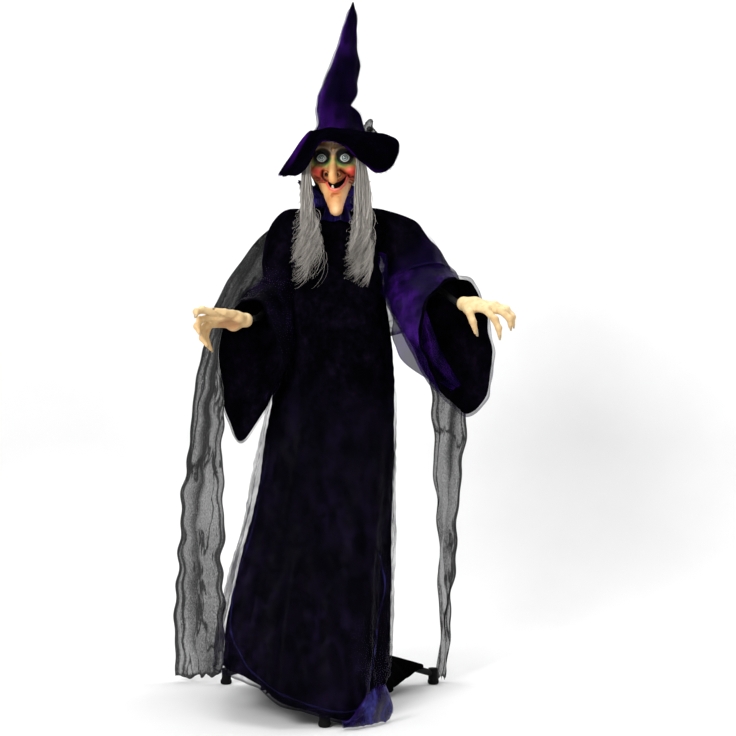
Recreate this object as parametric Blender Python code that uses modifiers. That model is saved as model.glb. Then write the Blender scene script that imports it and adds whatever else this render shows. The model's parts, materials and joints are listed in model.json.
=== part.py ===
"""Animated witch figure on a tripod stand, as an assembly of separate pieces.

Metres, +Z up. The figure faces -Y. The origin is the middle of the pole's foot, on the floor.
The stand is still. The torso turns on the pole, the head turns on the neck, the jaw hangs on a pin in the
head, both arms swing on shoulder bolts and each hand twists on the end of its arm tube.
"""

import math

import bpy
import bmesh
import numpy as np
from mathutils import Matrix, Vector

# Driving dimensions
GAP = 0.0004  # between pieces that touch
RUNNING = 0.00008  # radial, between a shaft and the hole it turns in
POLE_R = 0.014  # lower pole, outside
POLE_WALL = 0.0014
UPPER_POLE_R = 0.0122
POLE_SPLIT_Z = 0.60  # the lower pole's top
POLE_TOP_Z = 0.900
HUB_Z = 0.128
FOOT_REACH = 0.328  # pole axis to each foot
LEG_R = 0.009
LEG_ANGLES = {"front": -90.0, "left": 150.0, "right": 30.0}
SEAM_Z = 0.660  # where the robe and cape part between the turning torso and the still stand
CLOTH = 0.0025
GAUZE = 0.0016
SHOULDER_Z = 1.215
SHOULDER_LEFT_X, SHOULDER_RIGHT_X = -0.135, 0.172
ARM_R = 0.008
NECK_GEAR_Z = 1.298
HEAD_X = 0.012  # the head sits a little to one side of the neck
JAW_AXIS = (-0.010, 1.375)  # y, z of the jaw's pin
EYE_SPREAD, EYE_Y, EYE_Z = 0.029, -0.0775, 1.405
EYE_R = 0.0125
HEIGHT = 1.83

# Elliptical stations of the clothes: z, centre x, centre y, half width, half depth
BODICE = (
    (SEAM_Z + 0.005, 0.003, -0.004, 0.168, 0.138),
    (0.80, 0.0135, -0.002, 0.158, 0.122),
    (0.95, 0.028, 0.000, 0.134, 0.110),
    (1.06, 0.024, 0.000, 0.123, 0.104),
    (1.15, 0.014, 0.002, 0.112, 0.096),
    (1.205, 0.014, 0.007, 0.117, 0.080),
    (1.250, 0.010, 0.010, 0.100, 0.069),
    (1.276, 0.006, 0.008, 0.066, 0.060),
)
SKIRT = (
    (SEAM_Z - 0.005, 0.003, -0.005, 0.169, 0.140),
    (0.50, -0.012, -0.012, 0.180, 0.165),
    (0.34, -0.038, -0.030, 0.200, 0.200),
    (0.20, -0.056, -0.060, 0.214, 0.240),
    (0.135, -0.062, -0.078, 0.214, 0.262),
)
HEM_FRONT_Z, HEM_BACK_Z = 0.045, 0.128
UNDERSKIRT_TOP_Z, UNDERSKIRT_TOP_R = 0.215, 0.105

# The cape at each height: z, left edge x, right edge x, edge y, back y
CAPE = (
    (0.016, -0.430, 0.316, 0.190, 0.262),
    (0.15, -0.432, 0.330, 0.185, 0.252),
    (0.30, -0.422, 0.340, 0.178, 0.240),
    (0.48, -0.408, 0.358, 0.168, 0.225),
    (SEAM_Z, -0.385, 0.374, 0.155, 0.205),
    (0.80, -0.365, 0.382, 0.140, 0.185),
    (0.95, -0.335, 0.375, 0.122, 0.162),
    (1.06, -0.300, 0.352, 0.105, 0.145),
    (1.15, -0.235, 0.322, 0.086, 0.128),
    (1.22, -0.180, 0.255, 0.074, 0.112),
    (1.262, -0.110, 0.130, 0.072, 0.096),
)
CAPE_SPLIT_Z = 1.00  # below this the cape is two tails, one on each side
TAIL_LEFT_X = -0.292  # inner edge of the left tail
TAIL_RIGHT = ((0.016, 0.292), (0.15, 0.302), (0.30, 0.298), (0.48, 0.290), (SEAM_Z, 0.281), (1.1, 0.270))

# The hat's crown: z, centre x, half width, half depth
CROWN = (
    (1.464, 0.020, 0.078, 0.092),
    (1.505, 0.028, 0.064, 0.076),
    (1.546, 0.023, 0.055, 0.062),
    (1.604, 0.034, 0.050, 0.052),
    (1.659, 0.038, 0.040, 0.042),
    (1.719, 0.050, 0.031, 0.032),
    (1.763, 0.057, 0.022, 0.022),
    (1.801, 0.063, 0.012, 0.012),
    (HEIGHT, 0.065, 0.003, 0.003),
)

PARTS = bpy.data.collections.new("witch_figure")
HELPERS = bpy.data.collections.new("helpers")


def material(name, colour, roughness, metallic=0.0):
    made = bpy.data.materials.get(name)
    if made is None:
        made = bpy.data.materials.new(name)
        made.use_nodes = True
        shader = made.node_tree.nodes["Principled BSDF"]
        shader.inputs["Base Color"].default_value = (*colour, 1.0)
        shader.inputs["Roughness"].default_value = roughness
        shader.inputs["Metallic"].default_value = metallic
        made.diffuse_color = (*colour, 1.0)
    return made


STEEL = ("black_steel", (0.02, 0.02, 0.022), 0.45, 0.8)
RUBBER = ("black_rubber", (0.012, 0.012, 0.012), 0.85)
PLASTIC = ("black_plastic", (0.025, 0.025, 0.028), 0.5)
NYLON = ("white_nylon", (0.80, 0.79, 0.74), 0.4)
ZINC = ("zinc_steel", (0.55, 0.56, 0.58), 0.35, 1.0)
VELVET = ("purple_velvet", (0.022, 0.008, 0.05), 0.8)
BLACK_CLOTH = ("black_cloth", (0.006, 0.006, 0.008), 0.9)
GAUZE_CLOTH = ("black_gauze", (0.01, 0.01, 0.01), 0.9)
SATIN = ("purple_satin", (0.045, 0.012, 0.16), 0.35)
SKIN = ("latex_skin", (0.78, 0.55, 0.32), 0.5)
HAND_SKIN = ("hand_skin", (0.75, 0.62, 0.38), 0.55)
EYE = ("eye_acrylic", (0.75, 0.82, 0.80), 0.15)
HAIR = ("grey_hair", (0.42, 0.39, 0.36), 0.6)
TOOTH = ("tooth_ivory", (0.85, 0.80, 0.62), 0.3)
RED = ("red_plastic", (0.5, 0.02, 0.02), 0.4)


def place(obj, name, look, helper=False):
    obj.name = name
    for used in list(obj.users_collection):
        used.objects.unlink(obj)
    (HELPERS if helper else PARTS).objects.link(obj)
    if helper:
        obj.hide_render = True
        obj.display_type = "WIRE"
    elif look:
        obj.data.materials.append(material(*look))
    return obj


def mesh_object(name, verts, faces, look, helper=False, smooth=True):
    mesh = bpy.data.meshes.new(name)
    mesh.from_pydata([tuple(v) for v in verts], [], faces)
    obj = bpy.data.objects.new(name, mesh)
    if smooth:
        mesh.shade_smooth()
        mesh.set_sharp_from_angle(angle=math.radians(40))
    return place(obj, name, look, helper)


def aim(obj, start, direction):
    """Turns the object's +Z to direction, with its origin at start."""
    turn = Vector(direction).normalized().to_track_quat("Z", "Y")
    obj.matrix_world = Matrix.Translation(Vector(start)) @ turn.to_matrix().to_4x4()
    return obj


def turned(name, profile, look, at=(0, 0, 0), direction=(0, 0, 1), closed=False, steps=20):
    """A Screw-turned solid. The profile holds (radius, height), down the outer side."""
    mesh = bpy.data.meshes.new(name)
    last = len(profile) - 1
    edges = [(i, i + 1) for i in range(last)]
    if closed:
        edges.append((last, 0))
    mesh.from_pydata([(r, 0.0, h) for r, h in profile], edges, [])
    obj = place(bpy.data.objects.new(name, mesh), name, look)
    screw = obj.modifiers.new("turn", "SCREW")
    screw.steps = screw.render_steps = steps
    screw.use_merge_vertices = True
    screw.merge_threshold = 0.00001
    screw.use_smooth_shade = True
    return aim(obj, at, direction)


def rod(name, start, end, radius, look, helper=False, sides=20):
    """A cylinder between two points."""
    start, end = Vector(start), Vector(end)
    mesh = bpy.data.meshes.new(name)
    bm = bmesh.new()
    length = (end - start).length
    bmesh.ops.create_cone(
        bm, cap_ends=True, segments=sides, radius1=radius, radius2=radius, depth=length
    )
    bmesh.ops.translate(bm, verts=bm.verts, vec=(0, 0, length / 2))
    bm.to_mesh(mesh)
    bm.free()
    obj = place(bpy.data.objects.new(name, mesh), name, look, helper)
    mesh.shade_smooth()
    mesh.set_sharp_from_angle(angle=math.radians(40))
    return aim(obj, start, end - start)


def block(name, low, high, look, helper=False, bevel=0.0):
    """A box between two corners, with optional rounded edges."""
    low, high = Vector(low), Vector(high)
    mesh = bpy.data.meshes.new(name)
    bm = bmesh.new()
    bmesh.ops.create_cube(bm, size=1.0)
    bmesh.ops.scale(bm, verts=bm.verts, vec=high - low)
    bm.to_mesh(mesh)
    bm.free()
    obj = place(bpy.data.objects.new(name, mesh), name, look, helper)
    obj.location = (low + high) / 2
    if bevel:
        rounding = obj.modifiers.new("round", "BEVEL")
        rounding.width = bevel
        rounding.segments = 2
    return obj


def ball(name, centre, radii, look, helper=False, segments=16, rings=10):
    mesh = bpy.data.meshes.new(name)
    bm = bmesh.new()
    bmesh.ops.create_uvsphere(bm, u_segments=segments, v_segments=rings, radius=1.0)
    bmesh.ops.scale(bm, verts=bm.verts, vec=radii)
    bm.to_mesh(mesh)
    bm.free()
    obj = place(bpy.data.objects.new(name, mesh), name, look, helper)
    mesh.shade_smooth()
    obj.location = centre
    return obj


def boolean(obj, other, operation="DIFFERENCE"):
    step = obj.modifiers.new(other.name, "BOOLEAN")
    step.operation = operation
    step.object = other
    step.solver = "EXACT"
    return obj


def smooth_path(points, per_span=5):
    """Points on a Catmull-Rom curve through the given ones."""
    p = [Vector(q) for q in points]
    p = [2 * p[0] - p[1], *p, 2 * p[-1] - p[-2]]
    found = []
    for a, b, c, d in zip(p, p[1:], p[2:], p[3:]):
        for i in range(per_span):
            t = i / per_span
            found.append(
                0.5
                * (
                    2 * b
                    + (c - a) * t
                    + (2 * a - 5 * b + 4 * c - d) * t * t
                    + (3 * b - a - 3 * c + d) * t**3
                )
            )
    return [*found, p[-2]]


def tube(name, points, radius, look, radii=None, resolution=2):
    """A round tube along a polyline, as a curve with filled caps."""
    data = bpy.data.curves.new(name, "CURVE")
    data.dimensions = "3D"
    data.bevel_depth = radius
    data.bevel_resolution = resolution
    data.use_fill_caps = True
    spline = data.splines.new("POLY")
    spline.points.add(len(points) - 1)
    for i, point in enumerate(points):
        spline.points[i].co = (*point, 1.0)
        spline.points[i].radius = radii[i] if radii else 1.0
    return place(bpy.data.objects.new(name, data), name, look)


def as_mesh(curve, look=None, helper=False):
    """The curve object as a mesh object of the same name, its caps welded."""
    bpy.context.view_layer.update()
    graph = bpy.context.evaluated_depsgraph_get()
    mesh = bpy.data.meshes.new_from_object(curve.evaluated_get(graph))
    bm = bmesh.new()
    bm.from_mesh(mesh)
    bmesh.ops.remove_doubles(bm, verts=bm.verts, dist=0.00001)
    bmesh.ops.recalc_face_normals(bm, faces=bm.faces)
    bm.to_mesh(mesh)
    bm.free()
    name, world = curve.name, curve.matrix_world.copy()
    bpy.data.objects.remove(curve)
    mesh.materials.clear()
    obj = place(bpy.data.objects.new(name, mesh), name, look, helper)
    obj.matrix_world = world
    return obj


def loft(name, rows, look, closed_rows=True, thickness=0.0, cap=False, helper=False):
    """A skin through rows of points. With a thickness it is a shell that grows inwards, with cap a solid."""
    across = len(rows[0])
    verts = [p for row in rows for p in row]
    faces = []
    for i in range(len(rows) - 1):
        for j in range(across if closed_rows else across - 1):
            k = (j + 1) % across
            faces.append(
                (i * across + j, i * across + k, (i + 1) * across + k, (i + 1) * across + j)
            )
    if cap:
        faces.append(tuple(range(across))[::-1])
        faces.append(tuple((len(rows) - 1) * across + j for j in range(across)))
    obj = mesh_object(name, verts, faces, look, helper)
    if thickness:
        shell = obj.modifiers.new("cloth", "SOLIDIFY")
        shell.thickness = thickness
        shell.offset = -1.0
    return obj


def station_at(stations, z):
    """The stations' values at height z, straight between neighbours."""
    table = np.array(sorted(stations))
    return [float(np.interp(z, table[:, 0], table[:, i])) for i in range(1, table.shape[1])]


def ellipse_row(z, cx, cy, half_x, half_y, count=24):
    """A ring at height z, anticlockwise from above, from +X."""
    angles = [2 * math.pi * i / count for i in range(count)]
    return [(cx + half_x * math.cos(a), cy + half_y * math.sin(a), z) for a in angles]


def gear_outline(teeth, module, phase):
    """The tooth outline, with a tooth's middle at the phase angle. Straight flanks with free backlash."""
    pitch, step = module * teeth / 2, 2 * math.pi / teeth
    tip, root = pitch + 0.75 * module, pitch - 1.05 * module
    points = []
    for i in range(teeth):
        middle = phase + i * step
        for radius, share in ((root, -0.30), (tip, -0.12), (tip, 0.12), (root, 0.30)):
            angle = middle + share * step
            points.append((radius * math.cos(angle), radius * math.sin(angle)))
    return points


def flat_piece(name, outlines, thickness, look, at=(0, 0, 0), direction=(0, 0, 1)):
    """A flat outline, with any holes, extruded to a thickness about its middle plane."""
    data = bpy.data.curves.new(name, "CURVE")
    data.dimensions = "2D"
    data.fill_mode = "BOTH"
    data.extrude = thickness / 2
    for outline in outlines:
        spline = data.splines.new("POLY")
        spline.points.add(len(outline) - 1)
        spline.use_cyclic_u = True
        for point, (x, y) in zip(spline.points, outline):
            point.co = (x, y, 0, 1)
    return aim(place(bpy.data.objects.new(name, data), name, look), at, direction)


def circle(radius, count=24):
    return [
        (radius * math.cos(2 * math.pi * i / count), radius * math.sin(2 * math.pi * i / count))
        for i in range(count)
    ]


# ---------------------------------------------------------------- stand


def leg_direction(name):
    angle = math.radians(LEG_ANGLES[name])
    return Vector((math.cos(angle), math.sin(angle), 0))


def build_pole():
    foot = ((0, 0.026), (POLE_R + 0.0035, 0.026), (POLE_R + 0.004, 0.004), (POLE_R + 0.002, 0), (0, 0))
    turned("pole_foot", foot, RUBBER)
    inner = POLE_R - POLE_WALL
    base = 0.0264
    wall = ((POLE_R, POLE_SPLIT_Z), (POLE_R, base), (inner, base), (inner, POLE_SPLIT_Z))
    turned("lower_pole", wall, STEEL, closed=True, steps=16)
    lining = UPPER_POLE_R - POLE_WALL
    low = POLE_SPLIT_Z - 0.12
    wall = (
        (UPPER_POLE_R, POLE_TOP_Z - GAP),
        (UPPER_POLE_R, low),
        (lining, low),
        (lining, POLE_TOP_Z - GAP),
    )
    turned("upper_pole", wall, STEEL, closed=True, steps=24)


def build_pole_collar():
    """The clamp collar that sets how far the upper pole slides out, with its knob."""
    out = POLE_R + 0.009
    low, high = POLE_SPLIT_Z - 0.030, POLE_SPLIT_Z + 0.012
    inside, neck = POLE_R + GAP, UPPER_POLE_R + GAP
    profile = (
        (out - 0.003, high),
        (out, high - 0.003),
        (out, low + 0.002),
        (out - 0.002, low),
        (inside, low),
        (inside, POLE_SPLIT_Z + GAP),
        (neck, POLE_SPLIT_Z + GAP),
        (neck, high),
    )
    turned("pole_collar", profile, PLASTIC, closed=True)
    z = POLE_SPLIT_Z - 0.012
    knob = ((0, 0.024), (0.011, 0.024), (0.0125, 0.021), (0.0125, 0.010), (0.005, 0.008), (0.005, 0), (0, 0))
    turned("collar_knob", knob, PLASTIC, at=(0, out + GAP, z), direction=(0, 1, 0), steps=18)


def build_tripod():
    hub = (
        (POLE_R + 0.010, HUB_Z + 0.030),
        (0.030, HUB_Z + 0.020),
        (0.034, HUB_Z + 0.006),
        (0.034, HUB_Z - 0.016),
        (0.026, HUB_Z - 0.024),
        (POLE_R + GAP, HUB_Z - 0.024),
        (POLE_R + GAP, HUB_Z + 0.030),
    )
    turned("tripod_hub", hub, PLASTIC, closed=True)
    for name in LEG_ANGLES:
        out = leg_direction(name)
        start = out * (0.034 + 0.0045) + Vector((0, 0, HUB_Z - 0.004))
        end = out * (FOOT_REACH - 0.006) + Vector((0, 0, 0.030))
        rod(f"leg_{name}", start, end, LEG_R, STEEL, sides=16)
        cap = (
            (0, 0.0155),
            (0.0115, 0.0155),
            (0.0135, 0.013),
            (0.0155, 0.010),
            (0.0155, 0.003),
            (0.0125, 0),
            (0, 0),
        )
        foot = turned(f"foot_{name}", cap, RUBBER, at=out * FOOT_REACH, steps=20)
        neck = rod(
            f"foot_neck_{name}",
            out * (FOOT_REACH - 0.001) + Vector((0, 0, 0.008)),
            out * (FOOT_REACH - 0.001) + Vector((0, 0, 0.043)),
            0.0128,
            None,
            helper=True,
        )
        bore = rod(
            f"foot_bore_{name}", start, end + (end - start).normalized() * 0.0006,
            LEG_R + GAP, None, helper=True, sides=16,
        )
        boolean(boolean(foot, neck, "UNION"), bore)


def hem_height(angle):
    """The hem dips to its lowest in front and rises where the side legs pass under it."""
    share = 0.5 - 0.5 * math.sin(angle)  # 1 in front, 0 behind
    share = min(1.0, max(0.0, (share - 0.45) / 0.45))
    share = share * share * (3 - 2 * share)
    return HEM_BACK_Z + (HEM_FRONT_Z - HEM_BACK_Z) * share


def build_skirts():
    """The robe below the seam, and the plain underskirt that lies over the legs."""
    rows = [ellipse_row(*station) for station in SKIRT]
    low, count = SKIRT[-1], len(rows[0])
    hem = []
    for i in range(count):
        angle = 2 * math.pi * i / count
        z = hem_height(angle)
        flare = 1.0 + 0.35 * (low[0] - z)
        hem.append(
            (low[1] + low[3] * flare * math.cos(angle), low[2] + low[4] * flare * math.sin(angle), z)
        )
    loft("robe_skirt", [*rows, hem][::-1], VELVET, thickness=CLOTH)

    rows = [[], [], [], []]
    for i in range(30):
        angle = 2 * math.pi * i / 30
        near = max(math.cos(angle - math.radians(leg)) for leg in LEG_ANGLES.values())
        over_leg = max(0.0, near) ** 12
        # Over a leg the cloth runs out along the leg's top, and between legs it hangs.
        knee = 0.118 + 0.022 * (1 - over_leg)
        reach = 0.168 + 0.128 * over_leg
        for row, radius in zip(rows, (UNDERSKIRT_TOP_R, knee, (knee + reach) / 2, reach)):
            leg_top = HUB_Z + LEG_R - (HUB_Z - 0.030) * (radius - 0.038) / (FOOT_REACH - 0.044)
            hanging = 0.125 - 0.088 * (radius - knee) / (reach - knee)
            z = (leg_top + 0.0055) * over_leg + hanging * (1 - over_leg)
            if row is rows[0]:
                z = UNDERSKIRT_TOP_Z
            row.append((radius * math.cos(angle), radius * math.sin(angle), z))
    loft("underskirt", rows[::-1], BLACK_CLOTH, thickness=0.002)


def cape_row(z, start=None, end=None, across=19):
    """Points across the cape at height z, from one x to another, by default edge to edge."""
    left, right, edge_y, back_y = station_at(CAPE, z)
    start, end = start or left, end or right
    row = []
    for i in range(across):
        x = start + (end - start) * i / (across - 1)
        t = (x - left) / (right - left)
        row.append((x, edge_y + (back_y - edge_y) * math.sin(math.pi * t), z))
    return row


def tail_right_x(z):
    return float(np.interp(z, *zip(*TAIL_RIGHT)))


def build_cape():
    """A gauze cape from the shoulders, with one tail down each side."""
    heights = (SEAM_Z + 0.005, 0.80, CAPE_SPLIT_Z, 1.06, 1.15, 1.22, 1.262)
    cape = loft("cape", [cape_row(z) for z in heights], GAUZE_CLOTH, closed_rows=False, thickness=GAUZE)
    low = SEAM_Z - 0.02
    corners = []
    for y in (0.0, 0.4):
        corners += [
            (TAIL_LEFT_X, y, low),
            (tail_right_x(low), y, low),
            (tail_right_x(CAPE_SPLIT_Z), y, CAPE_SPLIT_Z),
            (TAIL_LEFT_X, y, CAPE_SPLIT_Z),
        ]
    sides = [(4, 5, 1, 0), (5, 6, 2, 1), (6, 7, 3, 2), (7, 4, 0, 3)]
    gap = mesh_object("cape_gap", corners, [(0, 1, 2, 3), (7, 6, 5, 4), *sides], None, helper=True, smooth=False)
    boolean(cape, gap)
    heights = (0.016, 0.15, 0.30, 0.48, SEAM_Z - 0.005)
    left = [cape_row(z, end=TAIL_LEFT_X, across=7) for z in heights]
    loft("cape_tail_left", left, GAUZE_CLOTH, closed_rows=False, thickness=GAUZE)
    right = [cape_row(z, start=tail_right_x(z), across=6) for z in heights]
    loft("cape_tail_right", right, GAUZE_CLOTH, closed_rows=False, thickness=GAUZE)


# ---------------------------------------------------------------- torso

WAIST_MODULE, WAIST_TEETH, PINION_TEETH = 0.0026, 30, 8
WAIST_GEAR_Z = 0.866
GEAR_WIDTH = 0.007


def build_waist_drive():
    """A gear fixed to the pole, and the motor that walks round it with the torso."""
    behind = math.pi / 2
    flat_piece(
        "waist_gear",
        [gear_outline(WAIST_TEETH, WAIST_MODULE, behind), circle(UPPER_POLE_R + GAP)],
        GEAR_WIDTH,
        NYLON,
        at=(0, 0, WAIST_GEAR_Z),
    )
    apart = WAIST_MODULE * (WAIST_TEETH + PINION_TEETH) / 2
    teeth = gear_outline(PINION_TEETH, WAIST_MODULE, behind + math.pi + math.pi / PINION_TEETH)
    pinion = as_mesh(
        flat_piece("waist_pinion", [teeth], GEAR_WIDTH, None, at=(0, apart, WAIST_GEAR_Z)), NYLON
    )
    shaft_top = POLE_TOP_Z - 0.0135
    shaft = rod(
        "waist_shaft", (0, apart, WAIST_GEAR_Z), (0, apart, shaft_top), 0.003, None, helper=True, sides=12
    )
    boolean(pinion, shaft, "UNION")
    flange_low, flange_high = 0.8735, 0.8800
    bore = UPPER_POLE_R + RUNNING + 0.00002
    table = (
        (0.010, POLE_TOP_Z + 0.006),
        (0.022, POLE_TOP_Z + 0.006),
        (0.022, flange_high),
        (0.072, flange_high),
        (0.072, flange_low),
        (bore, flange_low),
        (bore, POLE_TOP_Z),
        (0.010, POLE_TOP_Z),
    )
    turntable = turned("turntable", table, STEEL, closed=True, steps=28)
    hole = rod("shaft_hole", (0, apart, 0.86), (0, apart, 0.90), 0.0045, None, helper=True, sides=12)
    boolean(turntable, hole)
    can = (
        (0, 0.045),
        (0.016, 0.045),
        (0.018, 0.042),
        (0.018, 0.002),
        (0.016, 0),
        (0.0045, 0),
        (0.0045, 0.008),
        (0, 0.008),
    )
    turned("waist_motor", can, ZINC, at=(0, apart, flange_high + GAP))


def build_frame():
    """The spine with the shoulder bar welded across its top."""
    base, top = POLE_TOP_Z + 0.0064, SHOULDER_Z - 0.0050
    wall = ((0.0125, top), (0.0125, base), (0.0105, base), (0.0105, top))
    spine = turned("spine_weld", wall, None, closed=True)
    spine.hide_render = True
    spine.display_type = "WIRE"
    PARTS.objects.unlink(spine)
    HELPERS.objects.link(spine)
    bar = as_mesh(
        tube(
            "shoulder_frame",
            [(SHOULDER_LEFT_X + 0.012, 0, SHOULDER_Z), (SHOULDER_RIGHT_X - 0.012, 0, SHOULDER_Z)],
            0.0095,
            None,
            resolution=4,
        ),
        STEEL,
    )
    boolean(bar, spine, "UNION")
    for side, x in (("left", SHOULDER_LEFT_X), ("right", SHOULDER_RIGHT_X)):
        tab = rod(f"bar_tab_{side}", (x, 0.0065, SHOULDER_Z), (x, 0.0015, SHOULDER_Z), 0.0145, None, helper=True)
        inward = 0.03 if x < 0 else -0.03
        web = block(
            f"bar_web_{side}",
            (min(x, x + inward), 0.0017, SHOULDER_Z - 0.0085),
            (max(x, x + inward), 0.0063, SHOULDER_Z + 0.0085),
            None,
            helper=True,
        )
        hole = rod(f"bar_hole_{side}", (x, -0.02, SHOULDER_Z), (x, 0.02, SHOULDER_Z), 0.0034, None, helper=True, sides=12)
        relief = block(
            f"bar_relief_{side}",
            (x - 0.0185, -0.02, SHOULDER_Z - 0.02),
            (x + 0.0185, 0.0010, SHOULDER_Z + 0.02),
            None,
            helper=True,
        )
        for helper, operation in ((tab, "UNION"), (web, "UNION"), (relief, "DIFFERENCE"), (hole, "DIFFERENCE")):
            boolean(bar, helper, operation)
        bolt = (
            (0, 0.0115),
            (0.0055, 0.0115),
            (0.0055, 0.0075),
            (0.0030, 0.0075),
            (0.0030, -0.0075),
            (0.0055, -0.0075),
            (0.0055, -0.0115),
            (0, -0.0115),
        )
        turned(f"shoulder_bolt_{side}", bolt, ZINC, at=(x, 0, SHOULDER_Z), direction=(0, 1, 0), steps=12)


def build_neck():
    """A hollow neck with a flange, the motor under it, and the gear train that turns the head."""
    low, flange = SHOULDER_Z + 0.0099, NECK_GEAR_Z - 0.008
    neck = turned(
        "neck_tube",
        (
            (0.042, flange),
            (0.042, flange - 0.004),
            (0.0125, flange - 0.004),
            (0.0125, low),
            (0.0071, low),
            (0.0071, flange),
        ),
        STEEL,
        closed=True,
    )
    module, teeth, small = 0.0018, 24, 8
    apart = module * (teeth + small) / 2
    behind = math.pi / 2
    flat_piece(
        "neck_gear",
        [gear_outline(teeth, module, behind), circle(0.0073, 20)],
        0.006,
        NYLON,
        at=(0, 0, NECK_GEAR_Z),
    )
    outline = gear_outline(small, module, behind + math.pi + math.pi / small)
    pinion = as_mesh(flat_piece("neck_pinion", [outline], 0.006, None, at=(0, apart, NECK_GEAR_Z)), NYLON)
    motor_top = flange - 0.004 - GAP
    shaft = rod(
        "neck_shaft", (0, apart, motor_top - 0.003), (0, apart, NECK_GEAR_Z), 0.0022, None, helper=True, sides=10
    )
    boolean(pinion, shaft, "UNION")
    hole = rod("neck_shaft_hole", (0, apart, 1.27), (0, apart, 1.31), 0.0032, None, helper=True, sides=10)
    boolean(neck, hole)
    can = (
        (0, -0.005),
        (0.0032, -0.005),
        (0.0032, 0),
        (0.0125, 0),
        (0.0125, -0.042),
        (0, -0.042),
    )
    turned("neck_motor", can, ZINC, at=(0, apart, motor_top), steps=20)


BOX_LOW, BOX_HIGH = Vector((-0.052, 0.0250, 0.955)), Vector((0.052, 0.0700, 1.115))
BOX_WALL = 0.0025


def build_control_box():
    """The sound and motor controller on the back of the spine, with its lid, button and switch."""
    box = block("control_box", BOX_LOW, BOX_HIGH, PLASTIC)
    wall = Vector((BOX_WALL, BOX_WALL, BOX_WALL))
    cavity = block(
        "box_cavity", BOX_LOW + wall, (BOX_HIGH[0] - BOX_WALL, BOX_HIGH[1] + 0.02, BOX_HIGH[2] - BOX_WALL),
        None, helper=True,
    )
    boolean(box, cavity)
    for i, z in enumerate((BOX_LOW[2] + 0.02, BOX_HIGH[2] - 0.02)):
        lug = block(
            f"box_lug_{i}", (-0.016, -0.006, z - 0.008), (0.016, BOX_LOW[1] + 0.001, z + 0.008), None, helper=True
        )
        bore = rod(
            f"lug_bore_{i}", (0, 0, z - 0.03), (0, 0, z + 0.03), 0.0125 + GAP, None, helper=True
        )
        boolean(boolean(box, lug, "UNION"), bore)
    lid = block(
        "box_lid",
        (BOX_LOW[0], BOX_HIGH[1] + GAP, BOX_LOW[2]),
        (BOX_HIGH[0], BOX_HIGH[1] + GAP + 0.0025, BOX_HIGH[2]),
        PLASTIC,
    )
    outside = BOX_HIGH[1] + GAP + 0.0025
    button_at, switch_at = Vector((0.030, 0, 1.090)), Vector((-0.022, 0, 1.090))
    hole = rod(
        "button_hole", (button_at.x, 0.05, button_at.z), (button_at.x, 0.09, button_at.z), 0.0064, None, helper=True
    )
    slot = block(
        "switch_slot",
        (switch_at.x - 0.0085, 0.05, switch_at.z - 0.0034),
        (switch_at.x + 0.0085, 0.09, switch_at.z + 0.0034),
        None,
        helper=True,
    )
    boolean(boolean(lid, hole), slot)
    cap = (
        (0, 0.0028),
        (0.0050, 0.0028),
        (0.0060, 0.0018),
        (0.0060, -0.0029),
        (0.0076, -0.0029),
        (0.0076, -0.0045),
        (0, -0.0045),
    )
    turned("test_button", cap, RED, at=(button_at.x, outside, button_at.z), direction=(0, 1, 0), steps=16)
    block(
        "power_switch",
        (switch_at.x - 0.0080, outside - 0.0060, switch_at.z - 0.0030),
        (switch_at.x + 0.0005, outside + 0.0030, switch_at.z + 0.0030),
        PLASTIC,
        bevel=0.0006,
    )
    cone = (
        (0, 0.016),
        (0.012, 0.016),
        (0.012, 0.006),
        (0.026, 0.003),
        (0.028, 0.003),
        (0.028, 0),
        (0, 0),
    )
    front = BOX_LOW[1] + BOX_WALL + GAP
    turned("speaker", cone, PLASTIC, at=(0, front, 1.075), direction=(0, 1, 0), steps=20)
    block("battery_pack", (-0.044, front, 0.960), (0.044, front + 0.032, 1.040), ZINC, bevel=0.003)


def build_harness():
    """The lead that runs up the spine from the box to the neck motor."""
    neck_motor_y = 0.02875
    path = smooth_path(
        (
            (0.020, 0.0450, BOX_HIGH[2] + 0.0004),
            (0.020, 0.0455, 1.135),
            (0.017, 0.0480, 1.160),
            (0.008, 0.0400, 1.200),
            (0.003, neck_motor_y + 0.002, 1.225),
            (0.000, neck_motor_y, 1.2428),
        ),
        4,
    )
    tube("harness", path, 0.0022, BLACK_CLOTH)


def arm_hole(name, x):
    return rod(name, (x, 0, SHOULDER_Z - 0.022), (x * 0.45, 0, SHOULDER_Z - 0.022), 0.046, None, helper=True, sides=24)


def build_bodice():
    rows = [ellipse_row(*station) for station in BODICE]
    bodice = loft("robe_bodice", rows, VELVET, thickness=CLOTH)
    for side, x in (("left", -0.2), ("right", 0.2)):
        boolean(bodice, arm_hole(f"arm_hole_{side}", x))


def build_collar():
    """The satin stand-up collar round the neck, scalloped at its rim."""
    rows = []
    for up in (0.0, 0.35, 0.7, 1.0):
        row = []
        for i in range(30):
            angle = 2 * math.pi * i / 30
            behind = min(1.0, max(0.0, (math.sin(angle) - 0.1) / 0.7))
            behind = behind * behind * (3 - 2 * behind)
            height = 0.010 + 0.048 * behind
            radius = 0.061 + (0.002 + 0.028 * behind) * up
            radius *= 1 + 0.04 * behind * up * math.sin(10 * angle)
            row.append((0.006 + radius * math.cos(angle), 0.006 + 0.96 * radius * math.sin(angle), 1.2785 + height * up))
        rows.append(row)
    loft("collar", rows, SATIN, thickness=0.002)


# ---------------------------------------------------------------- head


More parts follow.
